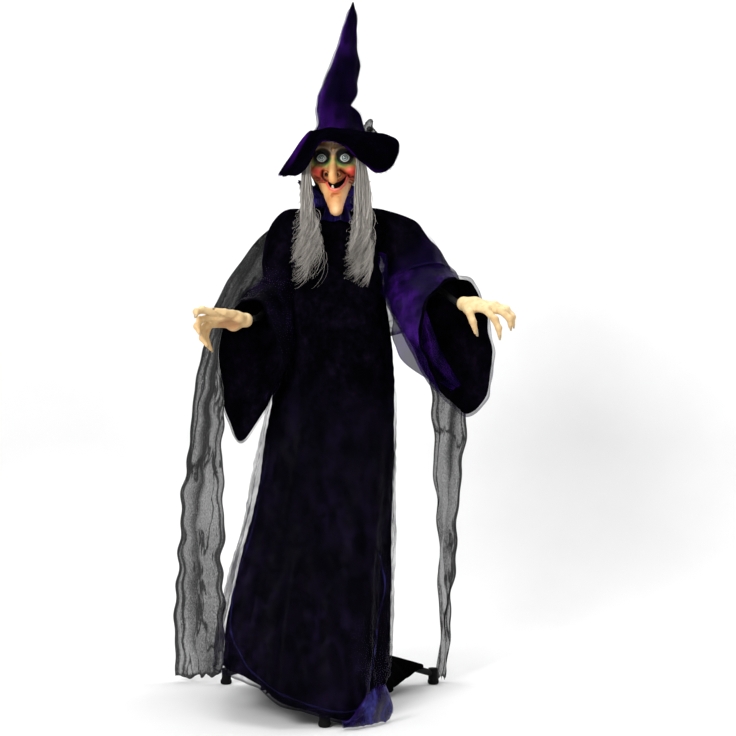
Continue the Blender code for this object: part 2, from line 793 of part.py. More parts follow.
def face_row(z, centre_x, half, front, nose=0.0, nose_half=0.012, back=0.0035, columns=17):
    """A row across the face from ear to ear: an arc, with a bump for the nose."""
    row = []
    for i in range(columns):
        u = -1 + 2 * i / (columns - 1)
        u = math.copysign(abs(u) ** 1.35, u)
        x = half * math.sin(u * math.pi / 2)
        y = back - (front + back) * max(0.0, math.cos(u * math.pi / 2)) ** 0.75
        y -= nose * math.exp(-((x / nose_half) ** 2))
        row.append((centre_x + x, y, z))
    return row


def build_face():
    """The upper face, with holes for the eyes, and the lower jaw with its long chin."""
    upper = (
        (1.338, 0.053, 0.091, 0.040, 0.013),
        (1.350, 0.059, 0.090, 0.056, 0.015),
        (1.366, 0.062, 0.088, 0.048, 0.013),
        (1.384, 0.061, 0.085, 0.036, 0.010),
        (1.405, 0.060, 0.082, 0.020, 0.008),
        (1.425, 0.061, 0.088, 0.008, 0.010),
        (1.446, 0.061, 0.090, 0.0, 0.012),
        (1.462, 0.058, 0.082, 0.0, 0.012),
    )
    rows = [face_row(z, HEAD_X, half, front, nose, width) for z, half, front, nose, width in upper]
    mask = loft("face_mask", rows, SKIN, closed_rows=False, thickness=0.0025)
    for side, sign in (("left", -1), ("right", 1)):
        x = HEAD_X + sign * EYE_SPREAD
        eye_hole = rod(f"eye_hole_{side}", (x, -0.13, EYE_Z), (x, -0.05, EYE_Z), EYE_R + 0.001, None, helper=True)
        boolean(mask, eye_hole)
        ball(f"eye_{side}", (x, EYE_Y, EYE_Z), (EYE_R,) * 3, EYE)
    lower = (
        (1.248, 0.010, 0.128),
        (1.256, 0.016, 0.133),
        (1.272, 0.020, 0.130),
        (1.290, 0.029, 0.116),
        (1.308, 0.038, 0.104),
        (1.324, 0.045, 0.100),
    )
    rows = []
    for z, half, front in lower:
        below = max(0.0, 1.316 - z)
        back = -0.040 - 0.045 * min(1.0, below / 0.016) - 0.4 * max(0.0, below - 0.026)
        rows.append(face_row(z, HEAD_X + 0.004, half, front, back=back, columns=13))
    loft("jaw_shell", rows, SKIN, closed_rows=False, thickness=0.0025)
    tooth = ((0, 0.007), (0.0022, 0.007), (0.0034, 0.004), (0.0034, 0), (0, 0))
    turned("tooth", tooth, TOOTH, at=(HEAD_X - 0.002, -0.0905, 1.3246), direction=(0, -0.1, 1), steps=12)


def build_skull():
    """The back of the head: half of a hollow egg, open towards the face."""
    rows = []
    centre_z, half_z = 1.418, 0.098
    for i in range(8):
        tilt = math.radians(-62 + 146 * i / 7)
        ring_x, ring_y = 0.064 * math.cos(tilt), 0.085 * math.cos(tilt)
        z = centre_z + half_z * math.sin(tilt)
        row = []
        for j in range(13):
            angle = math.pi * j / 12
            row.append((HEAD_X + ring_x * math.cos(angle), 0.0045 + ring_y * math.sin(angle), z))
        rows.append(row)
    loft("skull_shell", rows, PLASTIC, closed_rows=False, thickness=0.0025)


def build_head_frame():
    """Neck post, floor plate and the two cheek plates that carry the jaw's pin."""
    y, z = JAW_AXIS
    post = turned(
        "head_frame",
        (
            (0, 1.316),
            (0.0070, 1.316),
            (0.0070, 1.238),
            (0, 1.238),
        ),
        STEEL,
    )
    floor = block("head_floor", (HEAD_X - 0.0295, -0.022, 1.3140), (HEAD_X + 0.0295, 0.022, 1.3180), None, helper=True)
    boolean(post, floor, "UNION")
    for side, sign in (("left", -1), ("right", 1)):
        inner, outer = HEAD_X + sign * 0.0270, HEAD_X + sign * 0.0290
        plate = block(
            f"cheek_{side}",
            (min(inner, outer), y - 0.011, 1.3160),
            (max(inner, outer), y + 0.011, z + 0.012),
            None,
            helper=True,
        )
        boolean(post, plate, "UNION")
    hole = rod("pin_hole", (-0.05, y, z), (0.08, y, z), 0.0034, None, helper=True, sides=12)
    boolean(post, hole)
    pin = (
        (0, 0.037),
        (0.0045, 0.037),
        (0.0045, 0.0345),
        (0.0030, 0.0345),
        (0.0030, -0.0345),
        (0.0045, -0.0345),
        (0.0045, -0.037),
        (0, -0.037),
    )
    turned("jaw_pin", pin, ZINC, at=(HEAD_X, y, z), direction=(1, 0, 0), steps=12)


def build_jaw_drive():
    """The jaw's yoke with its gear, the pinion behind it and the small motor."""
    y, z = JAW_AXIS
    module, teeth, small = 0.0015, 20, 8
    apart = module * (teeth + small) / 2
    gear_x = HEAD_X + 0.016
    # flat_piece aims +Z along X, which puts its own X axis where this turn says.
    turn = Vector((1, 0, 0)).to_track_quat("Z", "Y").to_matrix()
    local = turn.inverted() @ Vector((0, 1, 0))
    behind = math.atan2(local.y, local.x)
    sleeve = rod("jaw_yoke", (HEAD_X - 0.0255, y, z), (HEAD_X + 0.0255, y, z), 0.0060, STEEL, sides=16)
    gear = as_mesh(
        flat_piece(
            "jaw_gear", [gear_outline(teeth, module, behind)], 0.004, None, at=(gear_x, y, z), direction=(1, 0, 0)
        ),
        helper=True,
    )
    boolean(sleeve, gear, "UNION")
    chin = Vector((0, -0.0790, 1.3125))
    for side, sign in (("left", -1), ("right", 1)):
        arm = rod(
            f"yoke_arm_{side}",
            (HEAD_X + sign * 0.0225, y, z),
            (HEAD_X + sign * 0.0225, chin.y, chin.z),
            0.0030,
            None,
            helper=True,
            sides=8,
        )
        boolean(sleeve, arm, "UNION")
    cross = rod(
        "yoke_cross", (HEAD_X - 0.0235, chin.y, chin.z), (HEAD_X + 0.0235, chin.y, chin.z), 0.0035, None, helper=True, sides=8
    )
    boolean(sleeve, cross, "UNION")
    bore = rod("yoke_bore", (-0.05, y, z), (0.08, y, z), 0.0030 + RUNNING, None, helper=True, sides=20)
    boolean(sleeve, bore)
    outline = gear_outline(small, module, behind + math.pi + math.pi / small)
    pinion = as_mesh(
        flat_piece("jaw_pinion", [outline], 0.004, None, at=(gear_x, y + apart, z), direction=(1, 0, 0)), NYLON
    )
    stub = rod(
        "jaw_shaft", (gear_x - 0.0048, y + apart, z), (gear_x, y + apart, z), 0.0018, None, helper=True, sides=10
    )
    boolean(pinion, stub, "UNION")
    can = ((0, 0), (0.0095, 0), (0.0095, -0.030), (0, -0.030))
    turned(
        "jaw_motor", can, ZINC, at=(gear_x - 0.0052, y + apart, z), direction=(1, 0, 0), steps=20
    )


def build_hat():
    """A stuffed crown that leans to one side, a drooping brim and a gauze bow."""
    rows = []
    for z, cx, half_x, half_y in CROWN:
        rows.append(ellipse_row(z, cx, 0.004, half_x, half_y, count=22))
    crown = loft("hat_crown", rows, VELVET, cap=True)
    recess = ball("head_recess", (HEAD_X, 0.0025, 1.418), (0.0685, 0.0945, 0.1025), None, helper=True, segments=20, rings=12)
    boolean(crown, recess)

    rings = ((0.080, 0.094, 0.0), (0.105, 0.118, -0.004), (0.135, 0.142, -0.018), (0.160, 0.160, -0.045))
    rows = []
    for half_x, half_y, drop in rings:
        row = []
        for i in range(28):
            angle = 2 * math.pi * i / 28
            sag = drop * (0.35 + 1.1 * math.cos(angle) ** 2)
            row.append((0.014 + half_x * math.cos(angle), 0.002 + half_y * math.sin(angle), 1.4605 + sag))
        rows.append(row)
    loft("hat_brim", rows[::-1], VELVET, thickness=0.004)
    ball("hat_bow", (0.118, 0.050, 1.500), (0.026, 0.022, 0.026), GAUZE_CLOTH, segments=16, rings=10)


def lock(name, path, halves, look=HAIR):
    """A hanging lock of hair: a flat oval swept down a path. The halves hold half width and half depth."""
    rows = []
    for (x, y, z), (wide, deep) in zip(path, halves):
        rows.append(ellipse_row(z, x, y, wide, deep, count=14))
    return loft(name, rows[::-1], look, cap=True)


def build_hair():
    lock(
        "hair_left",
        ((-0.046, -0.106, 1.425), (-0.052, -0.122, 1.360), (-0.054, -0.134, 1.280), (-0.053, -0.139, 1.190), (-0.050, -0.141, 1.110), (-0.048, -0.140, 1.080)),
        ((0.010, 0.006), (0.016, 0.008), (0.019, 0.009), (0.024, 0.011), (0.032, 0.012), (0.018, 0.008)),
    )
    lock(
        "hair_right",
        ((0.076, -0.104, 1.425), (0.082, -0.120, 1.360), (0.082, -0.134, 1.280), (0.080, -0.139, 1.190), (0.078, -0.141, 1.110), (0.078, -0.140, 1.080)),
        ((0.010, 0.006), (0.016, 0.008), (0.019, 0.009), (0.024, 0.011), (0.030, 0.012), (0.016, 0.008)),
    )
    lock(
        "hair_back",
        ((HEAD_X, 0.1035, 1.440), (HEAD_X, 0.1080, 1.400), (HEAD_X, 0.1130, 1.340), (HEAD_X, 0.1180, 1.290), (HEAD_X, 0.1190, 1.272)),
        ((0.046, 0.009), (0.054, 0.012), (0.060, 0.012), (0.056, 0.009), (0.046, 0.006)),
    )


# ---------------------------------------------------------------- arms and hands


class Arm:
    """One arm: its tube's route from the shoulder, and the frame that its hand sits in."""

    def __init__(self, side, route, wrist, forward, back):
        self.side = side
        self.wrist, self.forward = Vector(wrist), Vector(forward).normalized()
        self.back = (Vector(back) - Vector(back).dot(self.forward) * self.forward).normalized()
        cross = self.back.cross(self.forward)
        self.thumb = cross if side == "left" else -cross
        self.route = [Vector(p) for p in route]

    def at(self, forward, thumb, back):
        return self.wrist + self.forward * forward + self.thumb * thumb + self.back * back


# "left" is at -X, the viewer's left, and it wears the figure's own right hand.
ARMS = (
    Arm(
        "left",
        ((SHOULDER_LEFT_X, -0.004, SHOULDER_Z), (-0.142, -0.002, 1.13), (-0.152, 0.002, 1.055), (-0.172, -0.060, 1.004)),
        (-0.207, -0.128, 0.988),
        (-0.84, -0.50, -0.16),
        (0.0, 0.93, 0.36),
    ),
    Arm(
        "right",
        ((SHOULDER_RIGHT_X, -0.004, SHOULDER_Z), (0.212, -0.004, 1.152), (0.260, -0.018, 1.094), (0.300, -0.068, 1.062)),
        (0.350, -0.120, 1.030),
        (0.86, -0.46, -0.20),
        (0.0, -0.30, 0.95),
    ),
)
HAND_LENGTH = 0.072  # wrist to knuckles

# Each finger: where its knuckle is across the hand, its length share and how far it fans out
FINGERS = ((0.026, 0.93, 0.20), (0.009, 1.0, 0.05), (-0.009, 0.97, -0.08), (-0.025, 0.82, -0.22))
BONES = (0.036, 0.026, 0.022)
CURL = {"left": (14, 46, 44), "right": (20, 38, 34)}


def finger_points(arm, across, share, fan):
    """Knuckle, two joints and the tip of a curled finger."""
    points = [arm.at(HAND_LENGTH - 0.004, across, 0.0)]
    bend = 0.0
    for bone, turn in zip(BONES, CURL[arm.side]):
        bend += math.radians(turn)
        step = (
            arm.forward * math.cos(bend) * math.cos(fan)
            + arm.thumb * math.sin(fan)
            - arm.back * math.sin(bend)
        )
        points.append(points[-1] + step.normalized() * bone * share)
    return points


def build_arm(arm):
    x = SHOULDER_LEFT_X if arm.side == "left" else SHOULDER_RIGHT_X
    straight = [arm.wrist - arm.forward * 0.022, arm.wrist + arm.forward * 0.030]
    path = smooth_path([*arm.route, straight[0]], 4) + [straight[1]]
    path[0] = arm.route[0] + Vector((0, 0, -0.006))
    limb = as_mesh(tube(f"arm_tube_{arm.side}", path, ARM_R, None, resolution=3), STEEL)
    eye = rod(f"arm_eye_{arm.side}", (x, -0.0065, SHOULDER_Z), (x, 0.0002, SHOULDER_Z), 0.0145, None, helper=True)
    clear = block(
        f"arm_relief_{arm.side}", (x - 0.03, 0.0004, SHOULDER_Z - 0.0185), (x + 0.03, 0.03, SHOULDER_Z + 0.03), None, helper=True
    )
    front = block(
        f"arm_front_{arm.side}", (x - 0.03, -0.03, SHOULDER_Z - 0.0185), (x + 0.03, -0.0068, SHOULDER_Z + 0.03), None, helper=True
    )
    hole = rod(
        f"arm_bore_{arm.side}", (x, -0.03, SHOULDER_Z), (x, 0.03, SHOULDER_Z), 0.0030 + RUNNING, None, helper=True, sides=20
    )
    for helper, operation in ((clear, "DIFFERENCE"), (front, "DIFFERENCE"), (eye, "UNION"), (hole, "DIFFERENCE")):
        boolean(limb, helper, operation)


def build_hand(arm):
    """A clawed hand: a palm, four curled fingers and a thumb, bored for the arm tube."""
    across = [(-0.002, 0.019, 0.017), (0.015, 0.022, 0.017), (0.042, 0.031, 0.0135), (0.068, 0.034, 0.0110), (0.078, 0.030, 0.0085)]
    rows = []
    for forward, wide, deep in across:
        row = []
        for i in range(14):
            angle = 2 * math.pi * i / 14
            row.append(arm.at(forward, wide * math.cos(angle), deep * math.sin(angle)))
        rows.append(row)
    if arm.side == "left":
        rows = rows[::-1]
    hand = loft(f"hand_{arm.side}", rows, HAND_SKIN, cap=True)
    digits = {f"finger_{i}": finger_points(arm, *finger) for i, finger in enumerate(FINGERS)}
    digits["thumb"] = [
        arm.at(0.024, 0.020, -0.002),
        arm.at(0.046, 0.040, -0.010),
        arm.at(0.066, 0.050, -0.026),
        arm.at(0.082, 0.050, -0.044),
    ]
    for digit, points in digits.items():
        thick = (1.0, 0.92, 0.82, 0.42)
        finger = as_mesh(
            tube(f"{digit}_{arm.side}", smooth_path(points, 2), 0.0088, None, radii=[float(np.interp(i / 6, (0, 0.33, 0.66, 1), thick)) for i in range(7)]),
            helper=True,
        )
        boolean(hand, finger, "UNION")
    bore = rod(
        f"hand_bore_{arm.side}", arm.wrist - arm.forward * 0.03, arm.wrist + arm.forward * 0.0306, ARM_R + 2 * RUNNING, None, helper=True, sides=24
    )
    boolean(hand, bore)


def ring_about(centre, axis_a, axis_b, half_a, half_b, count=18, droop=0.0):
    """An oval ring. With droop it grows a hanging lobe on its lower side."""
    row = []
    for i in range(count):
        angle = 2 * math.pi * i / count
        low = max(0.0, -math.sin(angle))
        row.append(
            Vector(centre)
            + Vector(axis_a) * half_a * math.cos(angle) * (1 - 0.35 * droop * low)
            + Vector(axis_b) * (half_b * math.sin(angle) - droop * 0.06 * low**4)
        )
    return row


def build_sleeves():
    """Bell sleeves: a tube on the upper arm that opens to a wide hanging mouth at the wrist."""
    shapes = {
        "left": (
            ((-0.143, -0.002, 1.170), (1, 0, 0), (0, -1, 0), 0.033, 0.040, 0),
            ((-0.152, 0.000, 1.090), (1, 0, 0), (0, -1, 0), 0.037, 0.044, 0),
            ((-0.162, -0.016, 1.028), (0.97, -0.2, -0.1), (0, -0.60, 0.75), 0.046, 0.058, 0),
            ((-0.186, -0.052, 0.965), (0.93, -0.35, 0), (0.0, -0.12, 0.98), 0.060, 0.095, 0.2),
            ((-0.210, -0.090, 0.905), (0.90, -0.42, 0), (0.0, -0.05, 1.0), 0.070, 0.142, 0.7),
            ((-0.228, -0.118, 0.885), (0.88, -0.46, 0), (0.0, 0.0, 1.0), 0.074, 0.158, 1.0),
        ),
        "right": (
            ((0.197, -0.002, 1.180), (0.84, 0, 0.54), (0, -1, 0), 0.050, 0.047, 0),
            ((0.234, -0.006, 1.126), (0.80, 0, 0.60), (0, -1, 0), 0.053, 0.050, 0),
            ((0.268, -0.024, 1.070), (0.90, 0.30, 0.30), (-0.10, -0.50, 0.80), 0.058, 0.062, 0),
            ((0.294, -0.056, 1.010), (0.86, 0.48, 0), (0.0, -0.12, 0.98), 0.078, 0.100, 0.2),
            ((0.320, -0.084, 0.955), (0.84, 0.52, 0), (0.0, -0.05, 1.0), 0.094, 0.140, 0.6),
            ((0.338, -0.104, 0.940), (0.84, 0.52, 0), (0.0, 0.0, 1.0), 0.100, 0.150, 0.9),
        ),
    }
    for side, rings in shapes.items():
        rows = []
        for centre, a, b, half_a, half_b, droop in rings:
            a, b = Vector(a).normalized(), Vector(b).normalized()
            rows.append(ring_about(centre, a, b, half_a, half_b, droop=droop))
        loft(f"sleeve_{side}", rows[::-1], VELVET, thickness=CLOTH)


def main():
    for obj in list(bpy.data.objects):
        bpy.data.objects.remove(obj)
    bpy.context.scene.collection.children.link(PARTS)
    bpy.context.scene.collection.children.link(HELPERS)
    build_pole()
    build_pole_collar()
    build_tripod()
    build_skirts()
    build_cape()
    build_waist_drive()
    build_frame()
    build_neck()
    build_control_box()
    build_harness()
    build_bodice()
    build_collar()
    build_face()
    build_skull()
    build_head_frame()
    build_jaw_drive()
    build_hat()
    build_hair()
    for arm in ARMS:
        build_arm(arm)
        build_hand(arm)
    build_sleeves()


main()
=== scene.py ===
"""Looks for the animated witch figure: cloth, hair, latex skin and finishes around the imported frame.

Metres, +Z up, the figure faces -Y and stands on z = 0. "left" is the viewer's left, at -X.
"""

import json
import math

import bpy
import numpy as np
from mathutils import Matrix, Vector
from mathutils.bvhtree import BVHTree


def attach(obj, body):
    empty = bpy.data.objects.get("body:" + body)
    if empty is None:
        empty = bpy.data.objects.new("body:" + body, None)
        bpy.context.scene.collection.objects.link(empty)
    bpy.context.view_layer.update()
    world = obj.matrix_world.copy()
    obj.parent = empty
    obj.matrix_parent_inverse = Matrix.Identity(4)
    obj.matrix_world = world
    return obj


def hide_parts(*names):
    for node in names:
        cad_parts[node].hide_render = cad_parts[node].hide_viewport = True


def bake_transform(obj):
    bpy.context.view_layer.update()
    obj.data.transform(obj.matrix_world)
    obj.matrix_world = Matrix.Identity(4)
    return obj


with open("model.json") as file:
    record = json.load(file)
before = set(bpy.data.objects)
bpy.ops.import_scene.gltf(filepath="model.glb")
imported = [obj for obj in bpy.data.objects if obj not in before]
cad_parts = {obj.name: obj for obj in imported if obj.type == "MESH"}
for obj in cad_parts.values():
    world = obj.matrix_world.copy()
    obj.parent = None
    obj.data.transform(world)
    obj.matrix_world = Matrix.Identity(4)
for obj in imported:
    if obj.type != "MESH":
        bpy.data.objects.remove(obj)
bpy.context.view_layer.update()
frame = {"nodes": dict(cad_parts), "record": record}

# One turn, to the digits that a seeded phase needs.
TURN = 6.28

# ---------------------------------------------------------------- small tools


def curve_at(table, at):
    """Columns of a table of (key, values...) rows, read at the keys in at, on a smooth curve."""
    rows = np.array(sorted(table), float)
    keys, values = rows[:, 0], rows[:, 1:]
    at = np.asarray(at, float)
    slope = np.gradient(values, keys, axis=0)
    i = np.clip(np.searchsorted(keys, at) - 1, 0, len(keys) - 2)
    step = (keys[i + 1] - keys[i])[..., None]
    t = np.clip((at - keys[i])[..., None] / step, 0, 1)
    t2, t3 = t * t, t * t * t
    return (
        (2 * t3 - 3 * t2 + 1) * values[i]
        + (t3 - 2 * t2 + t) * step * slope[i]
        + (3 * t2 - 2 * t3) * values[i + 1]
        + (t3 - t2) * step * slope[i + 1]
    )


def smoothstep(low, high, value):
    t = np.clip((value - low) / (high - low), 0, 1)
    return t * t * (3 - 2 * t)


def ripple(points, scale, seed, count=9):
    """Smooth noise between about -1 and 1 at a scale in metres, from seeded plane waves."""
    rng = np.random.default_rng(seed)
    points = np.asarray(points, float)
    total = np.zeros(points.shape[:-1])
    for _ in range(count):
        direction = rng.normal(size=3)
        direction *= rng.uniform(0.6, 1.5) * 2 * math.pi / (scale * np.linalg.norm(direction))
        total += np.sin(points @ direction + rng.uniform(0, TURN))
    return total / math.sqrt(count) / 1.3


def pleat(phase):
    """A fold's profile: broad rounded ridges with narrow valleys, between -1 and 1."""
    return 1 - 2 * np.abs(np.sin(phase / 2)) ** 1.4


def make_mesh(name, verts, faces, material, attributes=None, uv=None):
    mesh = bpy.data.meshes.new(name)
    verts = np.asarray(verts, np.float32)
    faces = np.asarray(faces, np.int32)
    mesh.vertices.add(len(verts))
    mesh.vertices.foreach_set("co", verts.ravel())
    mesh.loops.add(faces.size)
    mesh.loops.foreach_set("vertex_index", faces.ravel())
    mesh.polygons.add(len(faces))
    width = faces.shape[1]
    mesh.polygons.foreach_set("loop_start", np.arange(0, faces.size, width, dtype=np.int32))
    mesh.update(calc_edges=True)
    mesh.validate()
    mesh.polygons.foreach_set("use_smooth", np.ones(len(mesh.polygons), bool))
    for key, values in (attributes or {}).items():
        values = np.asarray(values, np.float32)
        if values.ndim == 1:
            mesh.attributes.new(key, "FLOAT", "POINT").data.foreach_set("value", values)
        else:
            rgba = np.concatenate([values, np.ones((len(values), 1), np.float32)], 1)
            mesh.color_attributes.new(key, "FLOAT_COLOR", "POINT").data.foreach_set("color", rgba.ravel())
    if uv is not None:
        layer = mesh.uv_layers.new(name="cloth")
        layer.data.foreach_set("uv", np.asarray(uv, np.float32)[faces.ravel()].ravel())
    obj = bpy.data.objects.new(name, mesh)
    bpy.context.scene.collection.objects.link(obj)
    mesh.materials.append(material)
    return obj


def grid_faces(rows, columns, wrap=False):
    i, j = np.meshgrid(np.arange(rows - 1), np.arange(columns if wrap else columns - 1), indexing="ij")
    k = (j + 1) % columns
    corners = [i * columns + j, (i + 1) * columns + j, (i + 1) * columns + k, i * columns + k]
    return np.stack(corners, -1).reshape(-1, 4)


def grid_mesh(name, points, material, wrap=False, attributes=None, metres=None):
    """A sheet through a rows x columns x 3 array. Its UVs are in metres of cloth."""
    rows, columns = points.shape[:2]
    if metres is None:
        across = np.linalg.norm(np.diff(points, axis=1), axis=2).sum(1).mean()
        down = np.linalg.norm(np.diff(points, axis=0), axis=2).sum(0).mean()
    else:
        across, down = metres
    u, v = np.meshgrid(np.linspace(0, across, columns), np.linspace(0, down, rows))
    flat = {key: np.reshape(a, (rows * columns, *np.shape(a)[2:])) for key, a in (attributes or {}).items()}
    uv = np.stack([u, v], -1).reshape(-1, 2)
    return make_mesh(name, points.reshape(-1, 3), grid_faces(rows, columns, wrap), material, flat, uv)


def shares(rows, columns):
    """The share of the way down and of the way across, at each point of a grid."""
    down = np.linspace(0, 1, rows)[:, None] * np.ones((1, columns))
    return down, np.linspace(0, 1, columns)[None, :] * np.ones((rows, 1))


def rings(rows, columns):
    """The share of the way down and the angle round, at each point of a closed grid."""
    down = np.linspace(0, 1, rows)[:, None] * np.ones((1, columns))
    return down, np.linspace(0, 2 * math.pi, columns, endpoint=False)[None, :] * np.ones((rows, 1))


def thicken(obj, thickness):
    step = obj.modifiers.new("thickness", "SOLIDIFY")
    step.thickness = thickness
    step.offset = 0


# ---------------------------------------------------------------- materials


class Look:
    """A Principled material with a short way to add nodes."""

    def __init__(self, name, **sockets):
        self.material = bpy.data.materials.new(name)
        self.material.use_nodes = True
        self.tree = self.material.node_tree
        self.shader = self.tree.nodes["Principled BSDF"]
        for key, value in sockets.items():
            self.shader.inputs[key.replace("_", " ")].default_value = value

    def node(self, kind, inputs=None, **settings):
        made = self.tree.nodes.new("ShaderNode" + kind)
        for key, value in settings.items():
            setattr(made, key, value)
        for key, value in (inputs or {}).items():
            if hasattr(value, "is_output"):
                self.tree.links.new(value, made.inputs[key])
            else:
                made.inputs[key].default_value = value
        return made

    def place(self, scale=(1, 1, 1), uv=False):
        source = self.node("TexCoord").outputs["UV" if uv else "Object"]
        return self.node("Mapping", {"Vector": source, "Scale": scale}).outputs[0]

    def noise(self, scale, detail=3.0, roughness=0.55, stretch=(1, 1, 1)):
        inputs = {"Vector": self.place(stretch), "Scale": scale, "Detail": detail, "Roughness": roughness}
        return self.node("TexNoise", inputs).outputs["Fac"]

    def ramp(self, factor, *stops):
        made = self.node("ValToRGB", {"Fac": factor})
        while len(made.color_ramp.elements) < len(stops):
            made.color_ramp.elements.new(0.5)
        for element, (position, colour) in zip(made.color_ramp.elements, stops):
            element.position = position
            element.color = (*colour, 1) if hasattr(colour, "__len__") else (colour, colour, colour, 1)
        return made.outputs["Color"]

    def mix(self, factor, a, b, blend="MIX"):
        made = self.node("Mix", data_type="RGBA", blend_type=blend)
        for socket, value in ((made.inputs["Factor"], factor), (made.inputs[6], a), (made.inputs[7], b)):
            if hasattr(value, "is_output"):
                self.tree.links.new(value, socket)
            else:
                socket.default_value = value if not hasattr(value, "__len__") else (*value[:3], 1)
        return made.outputs[2]

    def math(self, operation, a, b=0.0):
        made = self.node("Math", operation=operation)
        for socket, value in zip(made.inputs, (a, b)):
            if hasattr(value, "is_output"):
                self.tree.links.new(value, socket)
            else:
                socket.default_value = value
        return made.outputs[0]

    def attribute(self, name, output="Fac"):
        return self.node("Attribute", attribute_name=name).outputs[output]

    def join(self, socket, value):
        self.tree.links.new(value, self.shader.inputs[socket])
        return self

    def bump(self, *layers):
        """Layers of (height socket, strength, distance), the first one coarsest."""
        normal = None
        for height, strength, distance in layers:
            inputs = {"Height": height, "Strength": strength, "Distance": distance}
            if normal:
                inputs["Normal"] = normal
            normal = self.node("Bump", inputs).outputs[0]
        return self.join("Normal", normal)

    def clear(self, opacity):
        """Lets light through where opacity is under 1."""
        output = self.tree.nodes["Material Output"]
        through = self.node("BsdfTransparent").outputs[0]
        mixed = self.node("MixShader", {0: opacity, 1: through, 2: self.shader.outputs[0]})
        self.tree.links.new(mixed.outputs[0], output.inputs["Surface"])
        return self


def velvet(name, dark, light, tint, sheen, painted_highlight=None):
    """Crushed velvet. Where a last colour is given, the "tint" attribute lays it on as a painted highlight.
    """
    look = Look(
        name, Roughness=0.8, Sheen_Weight=sheen, Sheen_Roughness=0.32, Sheen_Tint=(*tint, 1),
        Specular_IOR_Level=0.0
    )
    crush = look.noise(19, 6, stretch=(1, 1, 0.6), roughness=0.62)
    marks = look.noise(64, 3)
    nap = look.noise(900, 2)
    patches = look.ramp(
        look.math("MULTIPLY", crush, look.math("ADD", marks, 0.55)), (0.42, 0.0), (0.60, 0.4), (0.74, 1.0)
    )
    colour = look.mix(patches, dark, light)
    # The painted highlight colour goes on where the "tint" attribute and the crushed patches allow.
    if painted_highlight:
        lit = look.math("MULTIPLY", look.attribute("tint"), look.ramp(crush, (0.36, 0.15), (0.62, 1.0)))
        colour = look.mix(lit, colour, painted_highlight)
    look.join("Base Color", look.mix(0.30, colour, look.ramp(nap, (0.35, 0.25), (0.75, 1.0)), "MULTIPLY"))
    look.join("Roughness", look.ramp(crush, (0.35, 0.92), (0.75, 0.58)))
    return look.bump((crush, 0.35, 0.004), (marks, 0.25, 0.001), (nap, 0.30, 0.0005)).material


def organza(name, dark, shine, low, high, roughness=0.45, scale=15, gloss=0.03):
    """Sheer crisp cloth, denser along its creases, whose ridges also take the shine colour in patches as a
    painted sheen highlight. "edge" makes it solid and "veil" fades it out.
    """
    look = Look(
        name, Roughness=roughness, Specular_IOR_Level=gloss, Sheen_Weight=0.02, Sheen_Roughness=0.3,
        Sheen_Tint=(*shine, 1)
    )
    creases = look.noise(scale, 5, stretch=(1, 1, 0.42), roughness=0.6)
    ridge = look.math("ABSOLUTE", look.math("SUBTRACT", creases, 0.5))
    thread = look.noise(1400, 1, stretch=(1, 1, 0.25))
    # Painted sheen highlight: the base colour turns to the shine colour on the crease ridges.
    base = look.ramp(
        ridge, (0.0, shine), (0.035, tuple(0.55 * a + 0.5 * b for a, b in zip(dark, shine))), (0.12, dark)
    )
    broken = look.noise(7, 3)
    look.join("Base Color", look.mix(look.ramp(broken, (0.42, 0.0), (0.62, 1.0)), dark, base))
    opacity = look.ramp(ridge, (0.0, high), (0.05, 0.5 * (low + high)), (0.14, low))
    solid = look.math("MAXIMUM", opacity, look.attribute("edge"))
    look.bump((creases, 0.35, 0.004), (thread, 0.25, 0.0005))
    return look.clear(look.math("MULTIPLY", solid, look.attribute("veil"))).material


def gauze(name):
    """Loose open weave. The "dense" attribute says how many threads lie together."""
    look = Look(name, Roughness=0.9, Specular_IOR_Level=0.15)
    threads = look.node(
        "TexWave",
        {"Vector": look.place(uv=True), "Scale": 60.0, "Distortion": 6.0, "Detail": 2.0, "Detail Scale": 2.0},
        bands_direction="X",
    ).outputs["Fac"]
    cloud = look.noise(9, 5, stretch=(1, 1, 0.30))
    crease = look.math("ABSOLUTE", look.math("SUBTRACT", look.noise(7, 4, stretch=(1, 1, 0.45)), 0.5))
    fine = look.noise(420, 2, stretch=(1, 1, 0.4))
    look.join("Base Color", look.ramp(fine, (0.3, (0.004, 0.004, 0.005)), (0.75, (0.016, 0.016, 0.018))))
    holes = look.math(
        "MULTIPLY", look.ramp(threads, (0.1, 0.80), (0.9, 1.0)),
        look.ramp(cloud, (0.30, 0.80), (0.68, 1.0))
    )
    drawn = look.math("MULTIPLY", look.ramp(crease, (0.0, 1.0), (0.008, 0.55), (0.026, 0.0)), 0.38)
    opacity = look.math(
        "ADD", look.math("MULTIPLY", look.attribute("dense"), look.math("MULTIPLY", holes, 1.5)), drawn
    )
    look.bump((threads, 0.4, 0.0008))
    return look.clear(
        look.math(
            "MINIMUM", look.math("MULTIPLY", opacity, look.ramp(fine, (0.3, 0.8), (0.6, 1.0))), 0.97
        )
    ).material


def painted_latex(name, subsurface, gloss):
    look = Look(
        name, Roughness=gloss, Subsurface_Weight=subsurface, Subsurface_Scale=0.003,
        Specular_IOR_Level=0.22
    )
    mottling = look.noise(55, 4)
    pores = look.noise(620, 3)
    look.join(
        "Base Color",
        look.mix(
            look.ramp(mottling, (0.35, 0.0), (0.75, 0.8)), look.attribute("paint", "Color"),
            (0.86, 0.72, 0.60), "MULTIPLY"
        )
    )
    look.join("Roughness", look.ramp(mottling, (0.3, gloss - 0.06), (0.7, gloss + 0.16)))
    return look.bump((mottling, 0.25, 0.0015), (pores, 0.30, 0.0004)).material


